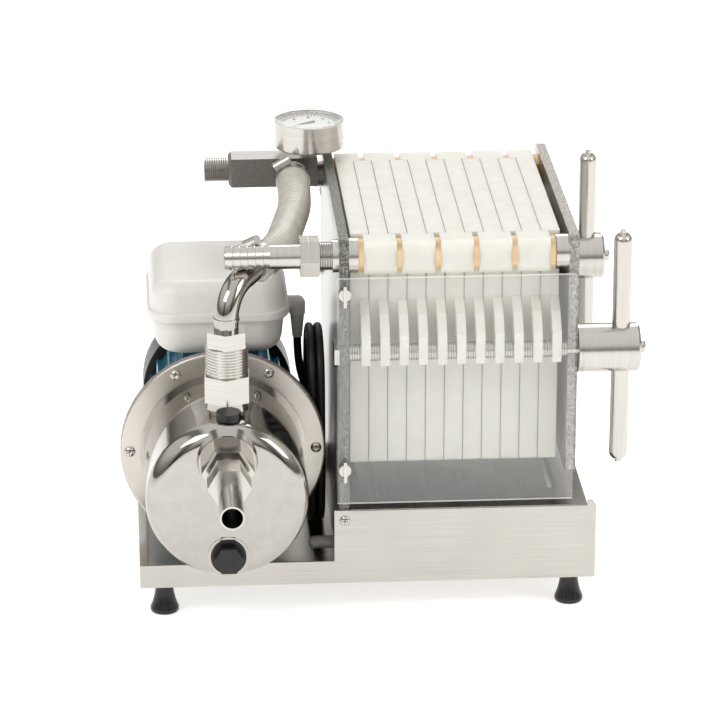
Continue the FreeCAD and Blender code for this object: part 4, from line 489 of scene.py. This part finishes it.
# %% Ridge tree
ridges, ridge_in, ridge_out = new_tree("ridges_along_a_line", {
    "Radius": "Float", "Ridge": "Float", "Pitch": "Float", "Sides": "Int", "Finish": "Material"})
line = node(ridges, "GeometryNodeMeshToCurve", Mesh=ridge_in.outputs["Geometry"])
bend = node(ridges, "GeometryNodeInputNamedAttribute", {"data_type": "FLOAT"}, Name="bend")
rounded = node(ridges, "GeometryNodeFilletCurve", {"mode": "POLY"}, Curve=line.outputs["Curve"],
               Count=12, Radius=bend.outputs["Attribute"])
stations = node(ridges, "GeometryNodeCurveToPoints", {"mode": "LENGTH"},
                Curve=rounded.outputs["Curve"], Length=ridge_in.outputs["Pitch"])
hoop = node(ridges, "GeometryNodeCurvePrimitiveCircle", Resolution=ridge_in.outputs["Sides"],
            Radius=ridge_in.outputs["Radius"])
section = node(ridges, "GeometryNodeCurvePrimitiveCircle", Resolution=6,
               Radius=ridge_in.outputs["Ridge"])
ridge = node(ridges, "GeometryNodeCurveToMesh", Curve=hoop.outputs["Curve"],
             Profile_Curve=section.outputs["Curve"])
stacked = node(ridges, "GeometryNodeInstanceOnPoints", Points=stations.outputs["Points"],
               Instance=ridge.outputs["Mesh"], Rotation=stations.outputs["Rotation"])
close_tree(ridges, ridge_in, ridge_out, stacked.outputs["Instances"])

# %% Threads
rod_fronts = (-17.5, 217.5)
ROD_Z = 222.0
# The rod threads use the darker thread steel: painted shade in the gaps between the plates.
grow("rod_threads", ridges,
     seed_lines("rod_lines", [[at(174.2, y, ROD_Z), at(352.0, y, ROD_Z)] for y in rod_fronts]),
     {"Radius": 6.85 * MM, "Ridge": 0.4 * MM, "Pitch": 2.0 * MM, "Sides": 24,
      "Finish": thread_steel}, "frame")
grow("outlet_thread", ridges,
     seed_lines("outlet_line", [[at(150.8, -11.0, 303.5), at(160.2, -11.0, 303.5)]]),
     {"Radius": 11.2 * MM, "Ridge": 0.45 * MM, "Pitch": 1.3 * MM, "Sides": 32,
      "Finish": thread_steel}, "frame")
grow("union_thread", ridges,
     seed_lines("union_line", [[at(74.0, -24.0, 210.5), at(74.0, -24.0, 232.8)]]),
     {"Radius": 17.0 * MM, "Ridge": 0.6 * MM, "Pitch": 2.3 * MM, "Sides": 40,
      "Finish": turned["z"]}, "frame")
grow("spigot_thread", ridges,
     seed_lines("spigot_line", [[at(64.5, 211.0, 309.1), at(82.0, 211.0, 309.1)]]),
     {"Radius": 9.9 * MM, "Ridge": 0.45 * MM, "Pitch": 1.8 * MM, "Sides": 32,
      "Finish": thread_steel}, "frame")

# %% Hose ribs
HOSE = [at(99.5, 10.6, 288.0), at(121.5, 40.5, 296.1), at(137.0, 118.0, 304.0),
        at(138.0, 154.9, 309.1), at(138.0, 186.4, 309.1)]
HOSE_BENDS = [0.0, 75 * MM, 192 * MM, 202 * MM, 0.0]
grow("hose_ribs", ridges, seed_lines("hose_line", [HOSE], HOSE_BENDS),
     {"Radius": 13.35 * MM, "Ridge": 0.55 * MM, "Pitch": 2.9 * MM, "Sides": 32,
      "Finish": hose_rib}, "frame")

# %% [markdown]
# ## Screw heads
# The flange and the front panel are held by pan-head screws with a cross recess. The head is a
# flattened dome with the cross cut out of it, grown once and set on each point, facing outwards.

# %% Screw tree
screws, screw_in, screw_out = new_tree("cross_head_screws", {
    "Radius": "Float", "Height": "Float", "Finish": "Material"})
dome = node(screws, "GeometryNodeMeshUVSphere", Segments=24, Rings=12, Radius=1.0)
squeeze = node(screws, "ShaderNodeCombineXYZ", X=screw_in.outputs["Radius"],
               Y=screw_in.outputs["Radius"], Z=screw_in.outputs["Height"])
head = node(screws, "GeometryNodeTransform", Geometry=dome.outputs["Mesh"],
            Scale=squeeze.outputs["Vector"])
slots = []
for long_side in ((1.1, 0.24, 0.9), (0.24, 1.1, 0.9)):
    bar = node(screws, "GeometryNodeMeshCube", Size=long_side)
    sized = node(screws, "ShaderNodeVectorMath", {"operation": "MULTIPLY"},
                 i0=squeeze.outputs["Vector"], i1=(1.0, 1.0, 1.0))
    lifted = node(screws, "ShaderNodeVectorMath", {"operation": "MULTIPLY"},
                  i0=squeeze.outputs["Vector"], i1=(0.0, 0.0, 1.0))
    slots.append(node(screws, "GeometryNodeTransform", Geometry=bar.outputs["Mesh"],
                      Translation=lifted.outputs["Vector"], Scale=sized.outputs["Vector"]))
recess = node(screws, "GeometryNodeMeshBoolean", {"operation": "DIFFERENCE"},
              Mesh_1=head.outputs["Geometry"], Mesh_2=slots[0].outputs["Geometry"])
screws.links.new(slots[1].outputs["Geometry"], recess.inputs["Mesh 2"])
facing = node(screws, "GeometryNodeInputNamedAttribute", {"data_type": "FLOAT_VECTOR"},
              Name="facing")
turn = node(screws, "FunctionNodeAlignRotationToVector", {"axis": "Z"},
            Vector=facing.outputs["Attribute"])
placed = node(screws, "GeometryNodeInstanceOnPoints", Points=screw_in.outputs["Geometry"],
              Instance=recess.outputs["Mesh"], Rotation=turn.outputs["Rotation"])
close_tree(screws, screw_in, screw_out, placed.outputs["Instances"])

# %% Flange and panel screws
PUMP_X, PUMP_Z, FLANGE_FACE = 72.0, 115.0, 46.0
SCREW_CIRCLE = 78.0
screw_places = [at(PUMP_X + SCREW_CIRCLE * math.sin(math.radians(a)), FLANGE_FACE,
                   PUMP_Z + SCREW_CIRCLE * math.cos(math.radians(a))) for a in range(30, 390, 60)]
grow("flange_screws", screws,
     seed_points("flange_points", screw_places, [(0.0, -1.0, 0.0)] * len(screw_places)),
     {"Radius": 4.6 * MM, "Height": 3.0 * MM, "Finish": turned["y"]}, "frame")
PANEL_FACE = -30.0
grow("panel_screws", screws,
     seed_points("panel_points", [at(169.6, PANEL_FACE, 79.2)], [(0.0, -1.0, 0.0)]),
     {"Radius": 4.4 * MM, "Height": 2.4 * MM, "Finish": turned["y"]}, "frame")
print("screw heads grown")

# %% [markdown]
# ## Marks round a centre
# Clamp slots, dial ticks and the cowl's louvres are bars set round a circle; the clamp slots are
# black bars, painted shade for the dark inside the band's real slots. One tree sets a number of
# bars of a given size on a circle round each point, and turns the ring to face along the point's
# direction.

# %% Ring tree
rings, ring_in, ring_out = new_tree("bars_round_a_centre", {
    "Radius": "Float", "Count": "Int", "Bar": "Vector", "Finish": "Material"})
circle = node(rings, "GeometryNodeCurvePrimitiveCircle", Resolution=ring_in.outputs["Count"],
              Radius=ring_in.outputs["Radius"])
bar = node(rings, "GeometryNodeMeshCube", Size=ring_in.outputs["Bar"])
outward = node(rings, "GeometryNodeInputPosition")
point_out = node(rings, "FunctionNodeAlignRotationToVector", {"axis": "X"},
                 Vector=outward.outputs["Position"])
around = node(rings, "GeometryNodeInstanceOnPoints", Points=circle.outputs["Curve"],
              Instance=bar.outputs["Mesh"], Rotation=point_out.outputs["Rotation"])
ring_facing = node(rings, "GeometryNodeInputNamedAttribute", {"data_type": "FLOAT_VECTOR"},
                   Name="facing")
ring_turn = node(rings, "FunctionNodeAlignRotationToVector", {"axis": "Z"},
                 Vector=ring_facing.outputs["Attribute"])
whole = node(rings, "GeometryNodeInstanceOnPoints", Points=ring_in.outputs["Geometry"],
             Instance=around.outputs["Instances"], Rotation=ring_turn.outputs["Rotation"])
close_tree(rings, ring_in, ring_out, whole.outputs["Instances"])

# %% Clamp slots and cowl louvres
clamp_spots, clamp_ways = [], []
for end, inner in ((HOSE[0], HOSE[1]), (HOSE[-1], HOSE[-2])):
    way = (inner - end).normalized()
    clamp_spots.append(end + way * 11.0 * MM)
    clamp_ways.append(tuple(way))
# The clamp slots are black bars on the band: painted shade, standing for the dark inside the real
# slots.
grow("clamp_slot_shade_bars", rings, seed_points("clamp_points", clamp_spots, clamp_ways),
     {"Radius": 14.4 * MM, "Count": 36, "Bar": (0.5 * MM, 1.1 * MM, 5.0 * MM),
      "Finish": black_ink_and_slot_shade}, "frame")
cowl_low, cowl_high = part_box("fan_cowl")
louvre_spots = [Vector(((cowl_low.x + cowl_high.x) / 2, cowl_high.y - 0.2 * MM,
                        (cowl_low.z + cowl_high.z) / 2))] * 2
for name, radius, count in (("cowl_louvres_outer", 46.0, 36), ("cowl_louvres_inner", 26.0, 20)):
    grow(name, rings, seed_points(name, louvre_spots[:1], [(0.0, 1.0, 0.0)]),
         {"Radius": radius * MM, "Count": count, "Bar": (15 * MM, 3.2 * MM, 1.0 * MM),
          "Finish": grey_rubber}, "frame")

# %% [markdown]
# ## Gauge dial
# Under the lens lies a white printed dial with ticks, plain numbers and a needle. The disc and
# the needle are cut as flat shapes with a little thickness; numbers are text made into meshes.

# %% Dial, ticks, numbers and needle
GAUGE = at(154.0, 211.0, 348.6)


def flat_piece(name, outline, low, thick, finish):
    """A flat shape with thickness: the outline is a list of (x, y) round the gauge's axis."""
    shape = bmesh.new()
    face = shape.faces.new([shape.verts.new(GAUGE + Vector((x, y, low)) * MM)
                            for x, y in outline])
    grown = bmesh.ops.extrude_face_region(shape, geom=[face])
    risen = [v for v in grown["geom"] if isinstance(v, bmesh.types.BMVert)]
    bmesh.ops.translate(shape, vec=Vector((0, 0, thick * MM)), verts=risen)
    bmesh.ops.recalc_face_normals(shape, faces=shape.faces)
    mesh = bpy.data.meshes.new(name)
    shape.to_mesh(mesh)
    shape.free()
    return settle(name, mesh, "frame", finish)


DIAL_RADIUS = 27.2
rim = [(DIAL_RADIUS * math.cos(math.tau * i / 64), DIAL_RADIUS * math.sin(math.tau * i / 64))
       for i in range(64)]
flat_piece("gauge_dial", rim, 0.0, 0.6, dial_white)
NEEDLE = math.radians(215)
along = Vector((math.cos(NEEDLE), math.sin(NEEDLE)))
aside = Vector((-along.y, along.x))
flat_piece("gauge_needle", [tuple(along * a + aside * b) for a, b in
                            ((-6, -1.2), (16, -0.4), (20, 0), (16, 0.4), (-6, 1.2))],
           1.4, 0.4, black_ink_and_slot_shade)
grow("dial_ticks", rings,
     seed_points("dial_point", [GAUGE + Vector((0, 0, 0.75 * MM))], [(0.0, 0.0, 1.0)]),
     {"Radius": 23.5 * MM, "Count": 48, "Bar": (3.0 * MM, 0.5 * MM, 0.3 * MM),
      "Finish": black_ink_and_slot_shade}, "frame")


def dial_number(text, angle, size):
    """One plain number on the dial, as a thin mesh."""
    curve = bpy.data.curves.new("number_" + text, "FONT")
    curve.body = text
    curve.size = size * MM
    curve.extrude = 0.1 * MM
    curve.resolution_u = 3
    curve.align_x = "CENTER"
    curve.align_y = "CENTER"
    written = bpy.data.objects.new("number_" + text, curve)
    bpy.context.scene.collection.objects.link(written)
    graph = bpy.context.evaluated_depsgraph_get()
    mesh = bpy.data.meshes.new_from_object(written.evaluated_get(graph))
    bpy.data.objects.remove(written)
    place = GAUGE + Vector((17.5 * math.cos(angle), 17.5 * math.sin(angle), 0.8)) * MM
    mesh.transform(Matrix.Translation(place))
    return settle("dial_number_" + text, mesh, "frame", black_ink_and_slot_shade)


for step in range(0, 7):
    dial_number(str(step), math.radians(225 - 45 * step), 6.5)
print("dial numbers: 7")

# %% [markdown]
# ## Mains lead
# The lead leaves the gland behind the pump, drops into a hank of four turns that hangs in the
# gap beside the motor, and ends in its plug on the base. It is one NURBS spline: the same route
# as the CAD tube, and the hank's turns worked out by a loop.

# %% Lead
HANK_Y, HANK_LOW, HANK_HIGH = 110.0, 72.75, 153.75
OUTER, INNER = 43.9, 36.7
NEAR, FAR = 148.4, 155.6
ARC_STEPS = 6
OUT_BY = 1.0 / math.cos(math.pi / (2 * ARC_STEPS))
lead = [at(140.0, 153.9, 176.0), at(140.0, 153.9, 152.0), at(NEAR, 153.9, 124.0),
        at(NEAR, 153.9, 102.0)]
turns = [(NEAR, OUTER), (NEAR, INNER), (FAR, INNER), (FAR, OUTER)]
for x, radius in turns:
    for step in range(ARC_STEPS):
        angle = math.radians(180.0 * (step + 0.5) / ARC_STEPS)
        lead.append(at(x, HANK_Y + radius * OUT_BY * math.cos(angle),
                       HANK_LOW - radius * OUT_BY * math.sin(angle)))
    lead += [at(x, HANK_Y - radius, HANK_LOW + 27.0), at(x, HANK_Y - radius, HANK_LOW + 54.0)]
    for step in range(ARC_STEPS):
        angle = math.radians(180.0 * (step + 0.5) / ARC_STEPS)
        lead.append(at(x, HANK_Y - radius * OUT_BY * math.cos(angle),
                       HANK_HIGH + radius * OUT_BY * math.sin(angle)))
    if (x, radius) != turns[-1]:
        lead.append(at(x, HANK_Y + radius, HANK_HIGH - 22.0))
        x, radius = turns[turns.index((x, radius)) + 1]
        lead.append(at(x, HANK_Y + radius, HANK_LOW + 22.0))
    else:
        lead.append(at(x, HANK_Y + radius, HANK_HIGH - 27.0))
lead += [at(FAR, 153.9, 97.25), at(FAR, 158.9, 70.25), at(150.6, 168.9, 47.25),
         at(132.6, 180.9, 33.75), at(108.6, 185.9, 33.75)]
CORD = 7.0 * MM
curve = bpy.data.curves.new("mains_lead", "CURVE")
curve.dimensions = "3D"
curve.bevel_depth = CORD / 2
curve.bevel_resolution = 4
curve.use_fill_caps = True
spline = curve.splines.new("NURBS")
spline.points.add(len(lead) - 1)
for point, place in zip(spline.points, lead):
    point.co = (*place, 1.0)
spline.order_u = 3
spline.use_endpoint_u = True
spline.resolution_u = 6
curve.materials.append(cord_jacket)
lead_object = bpy.data.objects.new("mains_lead", curve)
bpy.context.scene.collection.objects.link(lead_object)
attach(lead_object, "frame")
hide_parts("power_cord", "cord_hank")
print("lead points:", len(lead))
